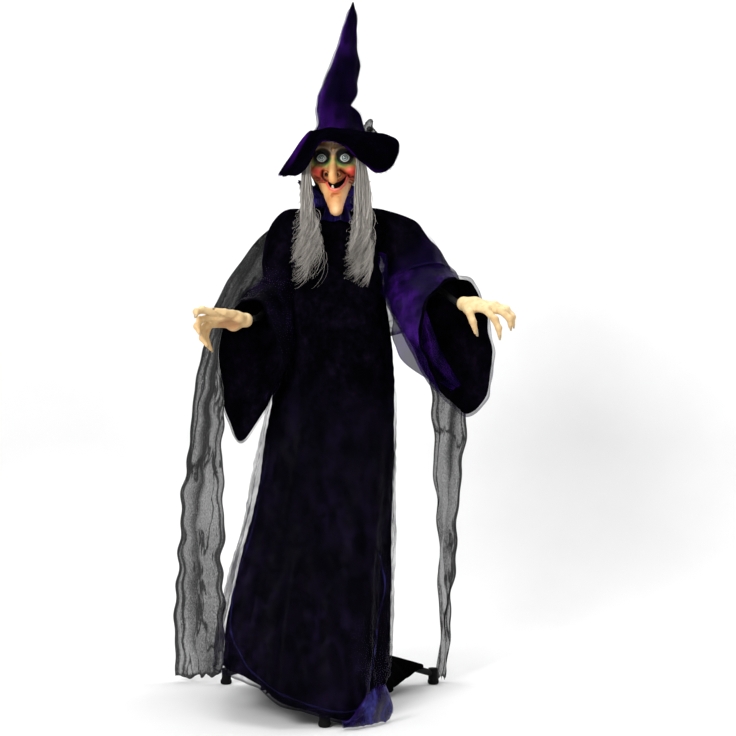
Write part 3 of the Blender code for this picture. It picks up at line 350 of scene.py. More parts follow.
def hard(name, colour, roughness, metallic=0.0, grain=300, wear=None, depth=0.0003, coat=0.0, gloss=0.5):
    """Moulded, coated or plated finishes: grain, uneven gloss and rubbed patches in the wear colour."""
    look = Look(name, Metallic=metallic, Coat_Weight=coat, Specular_IOR_Level=gloss)
    patches = look.noise(14, 5)
    fine = look.noise(grain, 3)
    darker = tuple(c * 0.7 for c in colour)
    base = look.ramp(fine, (0.3, darker), (0.7, colour))
    if wear:
        rubbed = look.ramp(look.noise(38, 6, roughness=0.7), (0.62, 0.0), (0.74, 0.55))
        base = look.mix(rubbed, base, wear)
    look.join("Base Color", base)
    look.join(
        "Roughness",
        look.ramp(patches, (0.3, max(0.05, roughness - 0.08)), (0.7, min(1.0, roughness + 0.14)))
    )
    return look.bump((patches, 0.12, 0.001), (fine, 0.4, depth)).material


VELVET_ROBE = velvet(
    "robe_velvet", (0.0009, 0.0009, 0.0016), (0.0052, 0.0034, 0.0090), (0.10, 0.07, 0.30), 0.006
)
# The hat and brim velvets end with the colour of their painted purple highlight.
VELVET_HAT = velvet(
    "hat_velvet", (0.0006, 0.0005, 0.0015), (0.0036, 0.0016, 0.0100), (0.25, 0.08, 0.60), 0.008,
    (0.060, 0.006, 0.200)
)
VELVET_BRIM = velvet(
    "brim_velvet", (0.0006, 0.0005, 0.0012), (0.0020, 0.0010, 0.0046), (0.25, 0.10, 0.60), 0.005,
    (0.060, 0.006, 0.200)
)
ORGANZA = organza("navy_organza", (0.0014, 0.0011, 0.0036), (0.0100, 0.0056, 0.0240), 0.20, 0.50)
ORGANZA_BRIGHT = organza("purple_organza", (0.0060, 0.0016, 0.0300), (0.055, 0.008, 0.200), 0.42, 0.70)
ORGANZA_SHOT = organza(
    "shot_organza", (0.0060, 0.0016, 0.0300), (0.035, 0.035, 0.200), 0.84, 0.95, 0.34, 17, 0.05
)
SATIN = organza("collar_satin", (0.0050, 0.0026, 0.0360), (0.040, 0.020, 0.240), 0.97, 1.0, 0.4, 30, 0.06)
GAUZE = gauze("black_gauze")
FACE = painted_latex("face_latex", 0.04, 0.50)
HAND = painted_latex("hand_latex", 0.05, 0.5)
BLACK_CLOTH = velvet(
    "black_cloth", (0.0007, 0.0007, 0.0008), (0.0026, 0.0026, 0.0030), (0.1, 0.1, 0.1), 0.004
)


def finish_frame():
    """Every CAD node keeps its shape and gets a finish with grain, gloss and wear."""
    made = {
        "rubber": hard("rubber", (0.006, 0.006, 0.006), 0.85, grain=500, gloss=0.08),
        "black_plastic": hard("moulded_black", (0.022, 0.022, 0.024), 0.46, grain=900),
        "black_steel": hard(
            "powder_black", (0.006, 0.006, 0.007), 0.55, 0.0, 1200, (0.03, 0.03, 0.03), gloss=0.15
        ),
        "zinc_steel": hard("zinc", (0.55, 0.56, 0.58), 0.30, 1.0, 700, (0.30, 0.29, 0.28)),
        "white_nylon": hard("nylon", (0.78, 0.76, 0.70), 0.38, grain=800),
        "battery": hard("battery_wrap", (0.10, 0.14, 0.30), 0.35, grain=600),
        "eye_acrylic": hard("eye_blank", (0.75, 0.78, 0.76), 0.2, grain=200),
        "tooth": hard("ivory", (0.80, 0.72, 0.50), 0.28, grain=300, wear=(0.50, 0.36, 0.16), coat=0.5),
        "red_plastic": hard("red_cap", (0.48, 0.02, 0.02), 0.32, grain=900),
        "velvet": VELVET_ROBE,
        "black_cloth": BLACK_CLOTH,
        "gauze": GAUZE,
        "satin": SATIN,
    }
    made["leg_tube"] = made["black_aluminium"] = made["black_steel"]
    slots = {entry["node"]: entry["material_slot"] for entry in frame["record"]["subparts"]}
    for name, obj in frame["nodes"].items():
        look = made.get(slots.get(name))
        if look:
            for slot in obj.material_slots:
                slot.material = look


# ---------------------------------------------------------------- robe

ROBE_TOP = 1.286
# The overskirt's upper edge, as a share of the way down the robe.
OVERSKIRT_FROM = 0.36

# z, left edge, right edge, front, back
ROBE = (
    (1.286, -0.062, 0.078, -0.050, 0.068),
    (1.268, -0.092, 0.112, -0.062, 0.078),
    (1.235, -0.112, 0.136, -0.070, 0.086),
    (1.200, -0.116, 0.144, -0.080, 0.092),
    (1.150, -0.108, 0.136, -0.096, 0.099),
    (1.060, -0.098, 0.150, -0.106, 0.105),
    (0.950, -0.106, 0.166, -0.112, 0.111),
    (0.800, -0.146, 0.175, -0.126, 0.121),
    (0.660, -0.168, 0.175, -0.146, 0.136),
    (0.500, -0.195, 0.170, -0.180, 0.154),
    (0.340, -0.240, 0.163, -0.232, 0.171),
    (0.200, -0.270, 0.158, -0.305, 0.181),
    (0.100, -0.276, 0.152, -0.346, 0.185),
    (0.000, -0.278, 0.148, -0.356, 0.187),
)
# angle round the robe in degrees, height of its hem
HEM = (
    (-180, 0.125), (-150, 0.125), (-130, 0.116), (-111, 0.092), (-99, 0.064), (-86, 0.042), (-74, 0.027),
    (-57, 0.010), (-40, 0.010), (-20, 0.060), (0, 0.100), (30, 0.118), (90, 0.122), (180, 0.125),
)


def robe_points(angles, share, outset=0.0, folds=1.0, lift=0.0, seed=1):
    """Points on the robe at angles round it and shares of the way from top to hem."""
    angle, v = np.meshgrid(angles, share)
    turn = (np.degrees(angle) + 180) % 360 - 180
    hem = curve_at(HEM, turn)[..., 0] + lift
    z = ROBE_TOP + (hem - ROBE_TOP) * v
    left, right, front, back = np.moveaxis(curve_at(ROBE, z), -1, 0)
    c, s = np.cos(angle), np.sin(angle)
    power = 2 / (2.15 + 0.25 * smoothstep(0.9, 0.5, z))
    x = (left + right) / 2 + (right - left) / 2 * np.sign(c) * np.abs(c) ** power
    y = (front + back) / 2 + (back - front) / 2 * np.sign(s) * np.abs(s) ** power
    low = smoothstep(1.12, 0.10, z)
    drift = 0.5 * np.sin(3.1 * z + 1.0) + 0.35 * np.sin(7.3 * z)
    fold = (
        0.60 * np.sin(5 * angle + 0.9 * drift + 0.4)
        + 0.50 * pleat(8 * angle - 1.3 * drift + 2.0 + 0.8 * np.sin(2 * angle))
        + 0.22 * pleat(
            17 * angle + 2.6 * drift + 1.1 + 1.5 * np.sin(3 * angle + 1)
        ) * (0.4 + 0.6 * np.sin(2.5 * z + 3 * angle) ** 2)
    )
    depth = 0.0018 + 0.0105 * low ** 1.1
    place = np.stack([x, y, z], -1)
    wrinkle = 0.0022 * ripple(place * (1, 1, 0.45), 0.10, seed) + 0.0012 * ripple(place, 0.035, seed + 1)
    # Creases pull across the chest from the shoulders.
    chest = smoothstep(0.98, 1.12, z) * smoothstep(1.27, 1.20, z)
    wrinkle += chest * 0.0022 * pleat(150 * (z + 0.55 * np.abs(x - 0.015)) + 4 * s)
    out = outset + folds * (fold - 0.35) * depth + wrinkle * folds
    middle_x, middle_y = (left + right) / 2, (front + back) / 2
    length = np.hypot(x - middle_x, y - middle_y) + 1e-6
    x = x + out * (x - middle_x) / length
    y = y + out * (y - middle_y) / length
    return np.stack([x, y, z], -1)


def make_robe():
    angles = np.linspace(0, 2 * math.pi, 420, endpoint=False)
    points = robe_points(angles, np.linspace(0, 1, 300))
    robe = grid_mesh("robe", points, VELVET_ROBE, wrap=True)
    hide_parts("robe_skirt", "robe_bodice")
    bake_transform(robe)

    # A sheer skirt lies over the velvet from the hips down and stands out from it on the left.
    rows = 190
    share = np.linspace(OVERSKIRT_FROM, 1, rows)
    points = robe_points(angles, share, outset=0.007, folds=1.15, lift=-0.006, seed=5)
    share = share[:, None]
    turn = angles[None, :]
    wave = 0.004 * np.sin(13 * turn + 5 * share) + 0.002 * np.sin(31 * turn - 9 * share)
    outward = points - points.mean(1, keepdims=True)
    outward[..., 2] = 0
    outward /= np.linalg.norm(outward, axis=-1, keepdims=True) + 1e-6
    left = smoothstep(0.1, 0.95, -np.cos(turn))
    out = wave * smoothstep(0.5, 1, share) + 0.016 * left * smoothstep(0.40, 0.62, share)
    points = points + outward * out[..., None]
    points[..., 2] = np.maximum(points[..., 2], 0.005)
    edge = 0.8 * smoothstep(0.990, 0.997, share) * np.ones_like(turn)
    veil = smoothstep(OVERSKIRT_FROM, 0.52, share) * np.ones_like(turn)
    sheer = grid_mesh("overskirt", points, ORGANZA, wrap=True, attributes={"edge": edge, "veil": veil})
    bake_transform(sheer)
    make_piping(points)


def make_piping(points):
    """A shot blue edging runs down the left of the skirt, along its bottom and up at the right."""
    route = (
        (-0.146, 0.700), (-0.166, 0.560), (-0.196, 0.430), (-0.232, 0.300), (-0.232, 0.220), (-0.196, 0.150),
        (-0.130, 0.098), (-0.050, 0.062), (0.030, 0.040), (0.085, 0.040), (0.105, 0.080), (0.126, 0.200),
        (0.146, 0.300), (0.140, 0.370), (0.126, 0.400),
    )
    tree = BVHTree.FromPolygons(points.reshape(-1, 3).tolist(), grid_faces(*points.shape[:2], True).tolist())
    samples = 400
    line = curve_at([(i / (len(route) - 1), *p) for i, p in enumerate(route)], np.linspace(0, 1, samples))
    line[:, 0] += 0.002 * np.sin(np.linspace(0, 60, samples))
    placed = []
    for x, z in line:
        hit = tree.ray_cast(Vector((x, -1, z)), Vector((0, 1, 0)))[0]
        y = hit.y if hit else (placed[-1][1] if placed else -0.15)
        placed.append((x, y - 0.0025, z))
    path = np.array(placed)
    path[:, 1] = np.convolve(np.pad(path[:, 1], 4, "edge"), np.ones(9) / 9, "valid")
    step = np.gradient(path, axis=0)
    step /= np.linalg.norm(step, axis=1, keepdims=True)
    side = np.cross(step, (0, 1, 0))
    across = np.linspace(-1, 1, 7)
    width = 0.0016 + 0.0012 * np.sin(np.linspace(0, 37, samples)) ** 2
    ribbon = path[:, None] + side[:, None] * (across[None, :] * width[:, None])[..., None]
    ribbon[..., 1] -= 0.0016 * (1 - across ** 2)
    tint = np.linspace(0, 1, samples)[:, None] * np.ones(7)
    veil = (
        smoothstep(0.0, 0.15, tint) * smoothstep(1.0, 0.96, tint)
        * (0.35 + 0.65 * smoothstep(0.6, 0.8, tint))
    )
    flat = {"edge": 0 * tint + 0.5, "veil": veil}
    piping = grid_mesh("piping", ribbon, ORGANZA_SHOT, attributes=flat)
    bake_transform(piping)


def make_puddle():
    """The overskirt's spare length, bunched on the floor in front at the right."""
    v, u = shares(90, 180)
    crumple = np.stack([u * 0.9, v * 0.5, 0 * u], -1)
    height = (0.022 + 0.078 * smoothstep(0.1, 0.75, u)) * smoothstep(1.12, 0.84, u)
    belly = np.sin(math.pi * np.clip(v, 0, 1) ** 0.8)
    x = 0.040 + 0.120 * u + 0.008 * belly * smoothstep(0.5, 1, u)
    y = -0.366 + 0.090 * u ** 2.2 - 0.006 * belly
    z = 0.003 + height * (1 - v) ** 0.85
    bulge = 0.008 * ripple(crumple, 0.40, 91) + 0.004 * ripple(crumple, 0.12, 92) * v
    y = np.clip(y + bulge - 0.005 * np.sin(17 * u + 3 * v) * v, -0.3735, None)
    z = np.maximum(z + 0.6 * bulge * (1 - v) + 0.005 * np.abs(np.sin(7 * u)) * v, 0.003)
    shape = np.stack([x, y, z], -1)
    fade = {
        "edge": np.where(v > 0.96, 0.7, 0.0),
        "veil": smoothstep(0, 0.16, v) * smoothstep(0, 0.08, u) * smoothstep(1.0, 0.97, u)
    }
    puddle = grid_mesh("overskirt_hem", shape, ORGANZA_SHOT, attributes=fade)
    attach(puddle, "stand")
    under = {"edge": 0 * v + 0.6, "veil": fade["veil"]}
    lining = grid_mesh("overskirt_hem_lining", shape + (0, 0.008, 0), ORGANZA_BRIGHT, attributes=under)
    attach(lining, "stand")


def make_underskirt():
    """Plain black cloth that drapes from the hub over the three legs."""
    v, turn = rings(60, 300)
    legs = np.radians([-90, 150, 30])
    near = np.max(np.cos(turn[..., None] - legs), -1)
    over = np.maximum(near, 0) ** 14
    knee, reach = 0.118 + 0.022 * (1 - over), 0.165 + 0.125 * over
    radius = np.where(v < 0.3, 0.105 + (knee - 0.105) * v / 0.3, knee + (reach - knee) * (v - 0.3) / 0.7)
    hanging = 0.125 - 0.105 * (radius - knee) / (reach - knee)
    leg_top = 0.137 - 0.345 * (radius - 0.038)
    z = (leg_top + 0.006) * over + hanging * (1 - over)
    z = np.where(v < 0.3, 0.212 + (z - 0.212) * v / 0.3, z)
    fold = 0.004 * pleat(26 * turn + 4 * v) * (0.4 + v) * (1 - 0.8 * over)
    z = np.maximum(z + 0.003 * np.sin(31 * turn + 5 * v) * v, 0.012)
    points = np.stack([(radius + fold) * np.cos(turn), (radius + fold) * np.sin(turn), z], -1)
    skirt = grid_mesh("leg_cloth", points, BLACK_CLOTH, wrap=True)
    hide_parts("underskirt")
    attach(skirt, "stand")


# ---------------------------------------------------------------- sleeves


def sleeve(
    name, ovals, node, body, material, blend_to, outset=0.0, seed=3, edge=0.0, droop=0.06, veil=(-2, -1),
    lean=0.0, blunt=3.0
):
    """A bell sleeve through ovals: (share, x, y, z, ax, ay, az, bx, by, bz, half a, half b, droop)."""
    rows, columns = 150, 220
    t = np.linspace(ovals[0][0], 1, rows)
    table = curve_at(ovals, t)
    centre = table[:, None, 0:3]
    a = table[:, 3:6] / np.linalg.norm(table[:, 3:6], axis=1, keepdims=True)
    b = table[:, 6:9] / np.linalg.norm(table[:, 6:9], axis=1, keepdims=True)
    half_a, half_b, low = (table[:, i, None] for i in (9, 10, 11))
    turn = np.linspace(0, 2 * math.pi, columns, endpoint=False)[None, :]
    down = np.maximum(0, -np.sin(turn))
    along = t[:, None]
    fold = (
        np.sin(4 * turn + 2.0 * along + 1) * 0.5
        + pleat(9 * turn - 4 * along + 0.6 * np.sin(3 * turn)) * 0.35
    )
    depth = 0.0015 + 0.0080 * smoothstep(0.25, 1.0, along)
    creases = (
        0.0028 * pleat(40 * along + 2.5 * np.sin(turn + 1)) * smoothstep(0.15, 0.4, along)
        * smoothstep(0.85, 0.5, along)
    )
    across = half_a + outset + fold * depth + creases
    up = half_b + outset + fold * depth * 0.8 + creases
    points = (
        centre
        + a[:, None, :] * (across * np.cos(turn) + lean * low * down ** 1.5)[..., None]
        + b[:, None, :] * (up * np.sin(turn))[..., None]
    )
    points[..., 2] -= low * droop * down ** blunt
    points += 0.0025 * ripple(points, 0.06, seed)[..., None] * np.array((0.7, 0.7, 0.3))
    values = np.full((rows, columns), 0.0)
    values[-4:] = edge
    veil = smoothstep(*veil, along) * np.ones_like(turn)
    piece = grid_mesh(name, points, material, wrap=True, attributes={"edge": values, "veil": veil})
    if node:
        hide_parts(node)
    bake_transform(piece)


LEFT_SLEEVE = (
    (0.00, -0.045, 0.006, 1.238, 0.10, 0, -1.0, 0, -1, 0, 0.047, 0.066, 0),
    (0.14, -0.096, 0.002, 1.226, 0.45, 0, -0.89, 0, -1, 0, 0.056, 0.064, 0),
    (0.28, -0.122, 0.000, 1.172, 0.94, 0, -0.34, 0, -1, 0, 0.048, 0.060, 0),
    (0.44, -0.130, -0.004, 1.100, 1, 0, 0.0, 0, -1, 0.05, 0.045, 0.058, 0),
    (0.60, -0.154, -0.020, 1.032, 0.98, -0.15, -0.08, 0, -0.60, 0.75, 0.064, 0.070, 0),
    (0.74, -0.175, -0.052, 0.970, 0.94, -0.32, 0, 0.0, -0.12, 0.98, 0.087, 0.100, 0.2),
    (0.88, -0.188, -0.084, 0.912, 0.93, -0.36, 0, 0.0, -0.05, 1.0, 0.092, 0.138, 0.7),
    (1.00, -0.202, -0.108, 0.890, 0.92, -0.40, 0, 0.0, 0.0, 1.0, 0.084, 0.150, 1.0),
)
RIGHT_SLEEVE = (
    (0.00, 0.070, 0.006, 1.242, -0.10, 0, 1.0, 0, -1, 0, 0.048, 0.066, 0),
    (0.14, 0.138, 0.002, 1.226, 0.25, 0, 0.97, 0, -1, 0, 0.056, 0.064, 0),
    (0.28, 0.192, -0.002, 1.192, 0.64, 0, 0.77, 0, -1, 0, 0.068, 0.060, 0),
    (0.44, 0.220, -0.010, 1.126, 0.92, 0, 0.38, 0, -1, 0.05, 0.080, 0.062, 0),
    (0.60, 0.250, -0.028, 1.062, 0.92, 0.30, 0.24, -0.1, -0.50, 0.80, 0.096, 0.074, 0),
    (0.74, 0.284, -0.056, 1.006, 0.86, 0.48, 0, 0.0, -0.12, 0.98, 0.116, 0.106, 0.2),
    (0.88, 0.312, -0.084, 0.958, 0.84, 0.52, 0, 0.0, -0.05, 1.0, 0.116, 0.140, 0.6),
    (1.00, 0.332, -0.104, 0.944, 0.84, 0.52, 0, 0.0, 0.0, 1.0, 0.106, 0.150, 0.9),
)
LEFT_BLEND = ((-0.07, 0, 1.228), (-0.145, 0, 1.150))
RIGHT_BLEND = ((0.09, 0, 1.230), (0.215, 0, 1.160))


def make_sleeves():
    left, right = {"lean": -0.016, "blunt": 5.0}, {"lean": 0.050, "blunt": 2.0, "droop": 0.048}
    sleeve("sleeve_velvet_left", LEFT_SLEEVE, "sleeve_left", "arm_left", VELVET_ROBE, LEFT_BLEND, **left)
    sleeve(
        "sleeve_velvet_right", RIGHT_SLEEVE, "sleeve_right", "arm_right", VELVET_ROBE, RIGHT_BLEND,
        seed=8, **right
    )
    left["edge"] = right["edge"] = 0.7
    sleeve(
        "sleeve_sheer_left", LEFT_SLEEVE[2:], None, "arm_left", ORGANZA, LEFT_BLEND, 0.006, 12,
        veil=(0.28, 0.6), **left
    )
    sleeve(
        "sleeve_sheer_right", RIGHT_SLEEVE[2:], None, "arm_right", ORGANZA_BRIGHT, RIGHT_BLEND, 0.009, 14,
        veil=(0.28, 0.55), **right
    )


def make_sleeve_wing():
    """The sheer layer's loose edge spans the gap between the robe's right side and the sleeve."""
    inner = (
        (0.0, 0.130, -0.030, 1.236), (0.3, 0.134, -0.030, 1.110),
        (0.55, 0.166, -0.034, 1.000), (0.72, 0.174, -0.038, 0.930),
        (0.82, 0.190, -0.044, 0.888), (0.91, 0.245, -0.056, 0.848),
        (1.0, 0.318, -0.070, 0.806),
    )
    outer = (
        (0.0, 0.210, -0.030, 1.200), (0.3, 0.236, -0.036, 1.080),
        (0.55, 0.262, -0.044, 1.000), (0.72, 0.284, -0.056, 0.940),
        (0.82, 0.300, -0.062, 0.900), (0.91, 0.322, -0.070, 0.860),
        (1.0, 0.345, -0.080, 0.822),
    )
    rows, columns = 110, 60
    t, s = np.linspace(0, 1, rows), np.linspace(0, 1, columns)[None, :, None]
    points = curve_at(inner, t)[:, None] * (1 - s) + curve_at(outer, t)[:, None] * s
    along = t[:, None] * np.ones((1, columns))
    points[..., 1] += 0.006 * np.sin(9 * along + 14 * s[..., 0]) + 0.0025 * ripple(points, 0.05, 63)
    points[..., 0] += 0.003 * np.sin(26 * along) * (1 - s[..., 0])
    edge = 0.84 + 0.11 * smoothstep(0.035, 0.0, s[..., 0]) + 0.11 * smoothstep(0.60, 0.10, along)
    veil = smoothstep(0.0, 0.05, along) * np.ones_like(s[..., 0])
    wing = grid_mesh("sleeve_wing", points, ORGANZA_BRIGHT, attributes={"edge": edge, "veil": veil})
    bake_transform(wing)


# ---------------------------------------------------------------- cape

# z, left outer, left inner, right inner, right outer, edge y, back y
CAPE = (
    (0.012, -0.424, -0.300, 0.292, 0.312, 0.186, 0.255),
    (0.080, -0.432, -0.296, 0.300, 0.324, 0.186, 0.255),
    (0.200, -0.426, -0.294, 0.300, 0.334, 0.182, 0.247),
    (0.340, -0.418, -0.294, 0.298, 0.346, 0.176, 0.237),
    (0.500, -0.406, -0.294, 0.292, 0.358, 0.167, 0.222),
    (0.660, -0.386, -0.292, 0.284, 0.368, 0.154, 0.203),
    (0.800, -0.365, -0.288, 0.276, 0.378, 0.140, 0.184),
    (0.950, -0.335, -0.262, 0.262, 0.374, 0.121, 0.160),
    (1.060, -0.298, -0.190, 0.240, 0.350, 0.104, 0.143),
    (1.150, -0.238, -0.140, 0.215, 0.318, 0.084, 0.126),
    (1.215, -0.184, -0.100, 0.180, 0.258, 0.060, 0.112),
    (1.262, -0.118, -0.060, 0.080, 0.130, 0.020, 0.094),
)


def tail(name, side, node, rows=300, columns=190):
    """One tail of the gauze cape, from over the shoulder to the floor, gathered along both edges."""
    z = np.linspace(1.262, 0.012, rows)
    table = curve_at(CAPE, z)
    left, right = table[:, 0], table[:, 3]
    outer, inner = (table[:, 0], table[:, 1]) if side < 0 else (table[:, 3], table[:, 2])
    s = np.linspace(0, 1, columns)[None, :]
    zz = z[:, None] * np.ones_like(s)
    # The gathers are tighter in the middle than at the two edges.
    pull = s + 0.060 * np.sin(2 * math.pi * s) * (1 if side < 0 else 0.5)
    loose = smoothstep(1.20, 0.95, zz)
    wander = loose * (0.008 * np.sin(7 * zz + 2) * np.sin(math.pi * s) + 0.0025 * np.sin(21 * zz + 5 * s))
    wander = wander + loose * 0.0045 * ripple(np.stack([s * 0.25 + 0 * zz, zz, 0 * zz], -1), 0.11, 38 + side)
    x = outer[:, None] + (inner - outer)[:, None] * pull + wander
    x += loose * 0.0022 * (np.sin(38 * zz + 1.5 * side) + 0.7 * np.sin(67 * zz)) * ((s < 0.12) | (s > 0.88))
    x = np.clip(x, -0.444, 0.472)
    t = np.clip((x - left[:, None]) / (right - left)[:, None], 0, 1)
    y = table[:, 4, None] + (table[:, 5] - table[:, 4])[:, None] * np.sin(math.pi * t)
    waves = (
        0.7 * np.sin(2 * math.pi * (3.4 * s + 0.35 * np.sin(5 * zz)))
        + 0.4 * np.sin(2 * math.pi * (8 * s - 0.5 * zz))
    )
    y = y + 0.011 * loose * waves
    first = np.exp(-(((s - 0.01) / 0.028) ** 2))
    last = np.exp(-(((1 - s) / 0.026) ** 2))
    roll = (
        np.exp(-(((s - 0.10 - 0.05 * np.sin(9 * zz)) / 0.020) ** 2))
        + np.exp(-(((s - 0.90 + 0.04 * np.sin(11 * zz + 1)) / 0.018) ** 2))
    )
    y = y + 0.006 * (first + last) * np.sin(90 * s + 60 * zz)
    zz = zz + 0.004 * np.sin(19 * s + 1) * smoothstep(0.10, 0.02, zz)
    place = np.stack([x, y, zz], -1)
    streak = 0.5 + 0.5 * ripple(np.stack([s * 1.6 + 0 * zz, zz * 0.8, 0 * zz], -1), 0.5, 30 + side)
    dense = 0.66 + 0.16 * np.clip(streak, 0, 1) ** 1.5 + 0.10 * smoothstep(0.80, 1.12, zz)
    dense += 0.85 * first + 0.70 * last + 0.30 * roll * loose
    fold = (s - 0.34 - 0.12 * np.sin(3.1 * zz + 0.4)) / 0.10
    dense += (
        0.26 * np.exp(-(fold ** 2)) * smoothstep(0.45, 0.75, zz)
        + 0.45 * np.exp(-((fold / 0.09) ** 2)) * loose
    )
    dense += 0.5 * smoothstep(0.024, 0.012, zz)
    piece = grid_mesh(name, place, GAUZE, attributes={"dense": np.clip(dense, 0, 0.97)}, metres=(0.42, 1.30))
    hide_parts(node)
    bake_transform(piece)


def make_cape():
    tail("cape_left", -1, "cape_tail_left")
    tail("cape_right", 1, "cape_tail_right")
    # The yoke lies across the back and over both shoulders.
    rows, columns = 110, 190
    z = np.linspace(1.268, 0.99, rows)
    table = curve_at(CAPE, z)
    s = np.linspace(0, 1, columns)[None, :]
    zz = z[:, None] * np.ones_like(s)
    left, right = table[:, 0, None], table[:, 3, None]
    x = left + (right - left) * s
    y = table[:, 4, None] + (table[:, 5] - table[:, 4])[:, None] * np.sin(math.pi * s) ** 0.9
    y = y + (0.002 + 0.006 * smoothstep(1.25, 1.0, zz)) * pleat(40 * s + 3 * np.sin(6 * zz))
    zz = zz - 0.06 * smoothstep(1.06, 0.99, zz) * np.sin(math.pi * s) ** 2
    dense = (
        0.42 + 0.25 * np.clip(ripple(np.stack([s * 2 + 0 * zz, zz, 0 * zz], -1), 0.3, 44), 0, 1)
        + 0.5 * smoothstep(1.005, 0.99, z)[:, None]
    )
    yoke = grid_mesh(
        "cape_yoke", np.stack([x, y, zz], -1), GAUZE, attributes={"dense": np.clip(dense, 0, 0.95)},
        metres=(0.9, 0.30)
    )
    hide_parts("cape")
    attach(yoke, "torso")


# ---------------------------------------------------------------- shapes by distance


def ball_d(p, centre, radii):
    q = (p - np.array(centre)) / np.array(radii)
    length = np.linalg.norm(q, axis=-1)
    return (length - 1) * min(radii)


def cone_d(p, a, b, ra, rb):
    """Distance to a rounded cone from a to b."""
    a, b = np.array(a, float), np.array(b, float)
    ab = b - a
    t = np.clip(((p - a) @ ab) / (ab @ ab), 0, 1)
    return np.linalg.norm(p - a - t[..., None] * ab, axis=-1) - (ra + (rb - ra) * t)


def join(a, b, k):
    h = np.clip(0.5 + 0.5 * (b - a) / k, 0, 1)
    return b + (a - b) * h - k * h * (1 - h)


def cut(a, b, k):
    return -join(-a, b, k)


def skin_of(distance, low, high, step):
    """Verts and quads of the zero surface of a distance function in a box, by surface nets."""
    low, high = np.array(low, float), np.array(high, float)
    counts = np.ceil((high - low) / step).astype(int) + 1
    axes = [low[i] + step * np.arange(counts[i]) for i in range(3)]
    grid = np.empty(tuple(counts), np.float32)
    for i in range(0, counts[0], 16):
        p = np.stack(np.meshgrid(axes[0][i : i + 16], axes[1], axes[2], indexing="ij"), -1)
        grid[i : i + 16] = distance(p)
    inside = grid < 0
    corners = [(a, b, c) for a in (0, 1) for b in (0, 1) for c in (0, 1)]
    n = counts - 1
    total = np.zeros(tuple(n), int)
    for a, b, c in corners:
        total += inside[a : a + n[0], b : b + n[1], c : c + n[2]]
    cells = np.argwhere((total > 0) & (total < 8))
    index = np.full(tuple(n), -1)
    index[tuple(cells.T)] = np.arange(len(cells))
    sums, hits = np.zeros((len(cells), 3)), np.zeros(len(cells))
    for a in corners:
        for axis in range(3):
            if a[axis]:
                continue
            b = list(a)
            b[axis] = 1
            va, vb = grid[tuple((cells + a).T)], grid[tuple((cells + b).T)]
            cross = (va < 0) != (vb < 0)
            t = np.where(cross, va / np.where(va == vb, 1, va - vb), 0)
            point = np.array(a) + t[:, None] * (np.array(b) - np.array(a))
            sums += np.where(cross[:, None], point, 0)
            hits += cross
    verts = low + step * (cells + sums / hits[:, None])
    faces = []
    for axis in range(3):
        u, w = (axis + 1) % 3, (axis + 2) % 3
        first = [slice(1, -1)] * 3
        first[axis] = slice(0, -1)
        second = list(first)
        second[axis] = slice(1, None)
        first, second = tuple(first), tuple(second)
        change = np.argwhere(inside[first] != inside[second])
        start = np.ones(3, int)
        start[axis] = 0
        base = change + start
        solid = inside[tuple(base.T)]
        shift_u, shift_w = np.eye(3, dtype=int)[u], np.eye(3, dtype=int)[w]
        quad = np.stack(
            [index[tuple((base - d).T)] for d in (0 * shift_u, shift_u, shift_u + shift_w, shift_w)], -1
        )
        keep = (quad >= 0).all(1)
        quad, solid = quad[keep], solid[keep]
        faces.append(np.where(solid[:, None], quad, quad[:, ::-1]))
    return verts, np.concatenate(faces)


# ---------------------------------------------------------------- face

FACE_X = 0.0155
# Only the nose lies nearer the viewer than the first y, and the face's sides begin behind the second.
NOSE_ONLY, MASK_FRONT = -0.117, -0.045
EYES = {"left": (-0.0145, -0.0770, 1.4065), "right": (0.0455, -0.0770, 1.4070)}
EYE_R = 0.0150
LINER = (0.003, 0.004, 0.004)
CHEEKS = ((-0.0225, -0.0750, 1.3745), (0.0610, -0.0720, 1.3745))
NOSE = (
    (0.0148, -0.0800, 1.4220), (0.0142, -0.1020, 1.3880), (0.0152, -0.1280, 1.3580),
    (0.0160, -0.1360, 1.3455)
)
WINGS = ((-0.0035, -0.1010, 1.3650), (0.0275, -0.1010, 1.3640))
MOUTH = (
    (0.0020, -0.0870, 1.3455), (0.0120, -0.0960, 1.3410), (0.0258, -0.0990, 1.3415),
    (0.0380, -0.0930, 1.3490), (0.0496, -0.0820, 1.3620)
)
LIP = (
    (0.0015, -0.0870, 1.3435), (0.0090, -0.0980, 1.3289), (0.0200, -0.1030, 1.3248),
    (0.0320, -0.0990, 1.3290), (0.0430, -0.0900, 1.3413), (0.0500, -0.0820, 1.3600)
)
SMILE_LEFT = (
    (-0.0110, -0.1000, 1.3720), (-0.0130, -0.0950, 1.3620), (-0.0095, -0.0900, 1.3530),
    (0.0000, -0.0870, 1.3460)
)
SMILE_RIGHT = (
    (0.0340, -0.1000, 1.3750), (0.0430, -0.0940, 1.3690), (0.0510, -0.0840, 1.3635),
    (0.0560, -0.0800, 1.3610)
)
WRINKLES = (
    ((-0.0345, -0.0700, 1.3610), (-0.0180, -0.0860, 1.3555)),
    ((-0.0280, -0.0740, 1.3540), (-0.0120, -0.0870, 1.3500)),
    ((-0.0200, -0.0780, 1.3470), (-0.0060, -0.0860, 1.3440)),
    ((0.0580, -0.0800, 1.3585), (0.0740, -0.0640, 1.3610)),
    ((0.0580, -0.0780, 1.3525), (0.0720, -0.0620, 1.3530)),
    ((0.0560, -0.0760, 1.3460), (0.0690, -0.0620, 1.3445)),
)
CHIN = ((0.0195, -0.0600, 1.3380), (0.0222, -0.1000, 1.2900), (0.0235, -0.1150, 1.2715))


def chain_d(p, points, radii):
    d = None
    for a, b, ra, rb in zip(points, points[1:], radii, radii[1:]):
        one = cone_d(p, a, b, ra, rb)
        d = one if d is None else np.minimum(d, one)
    return d


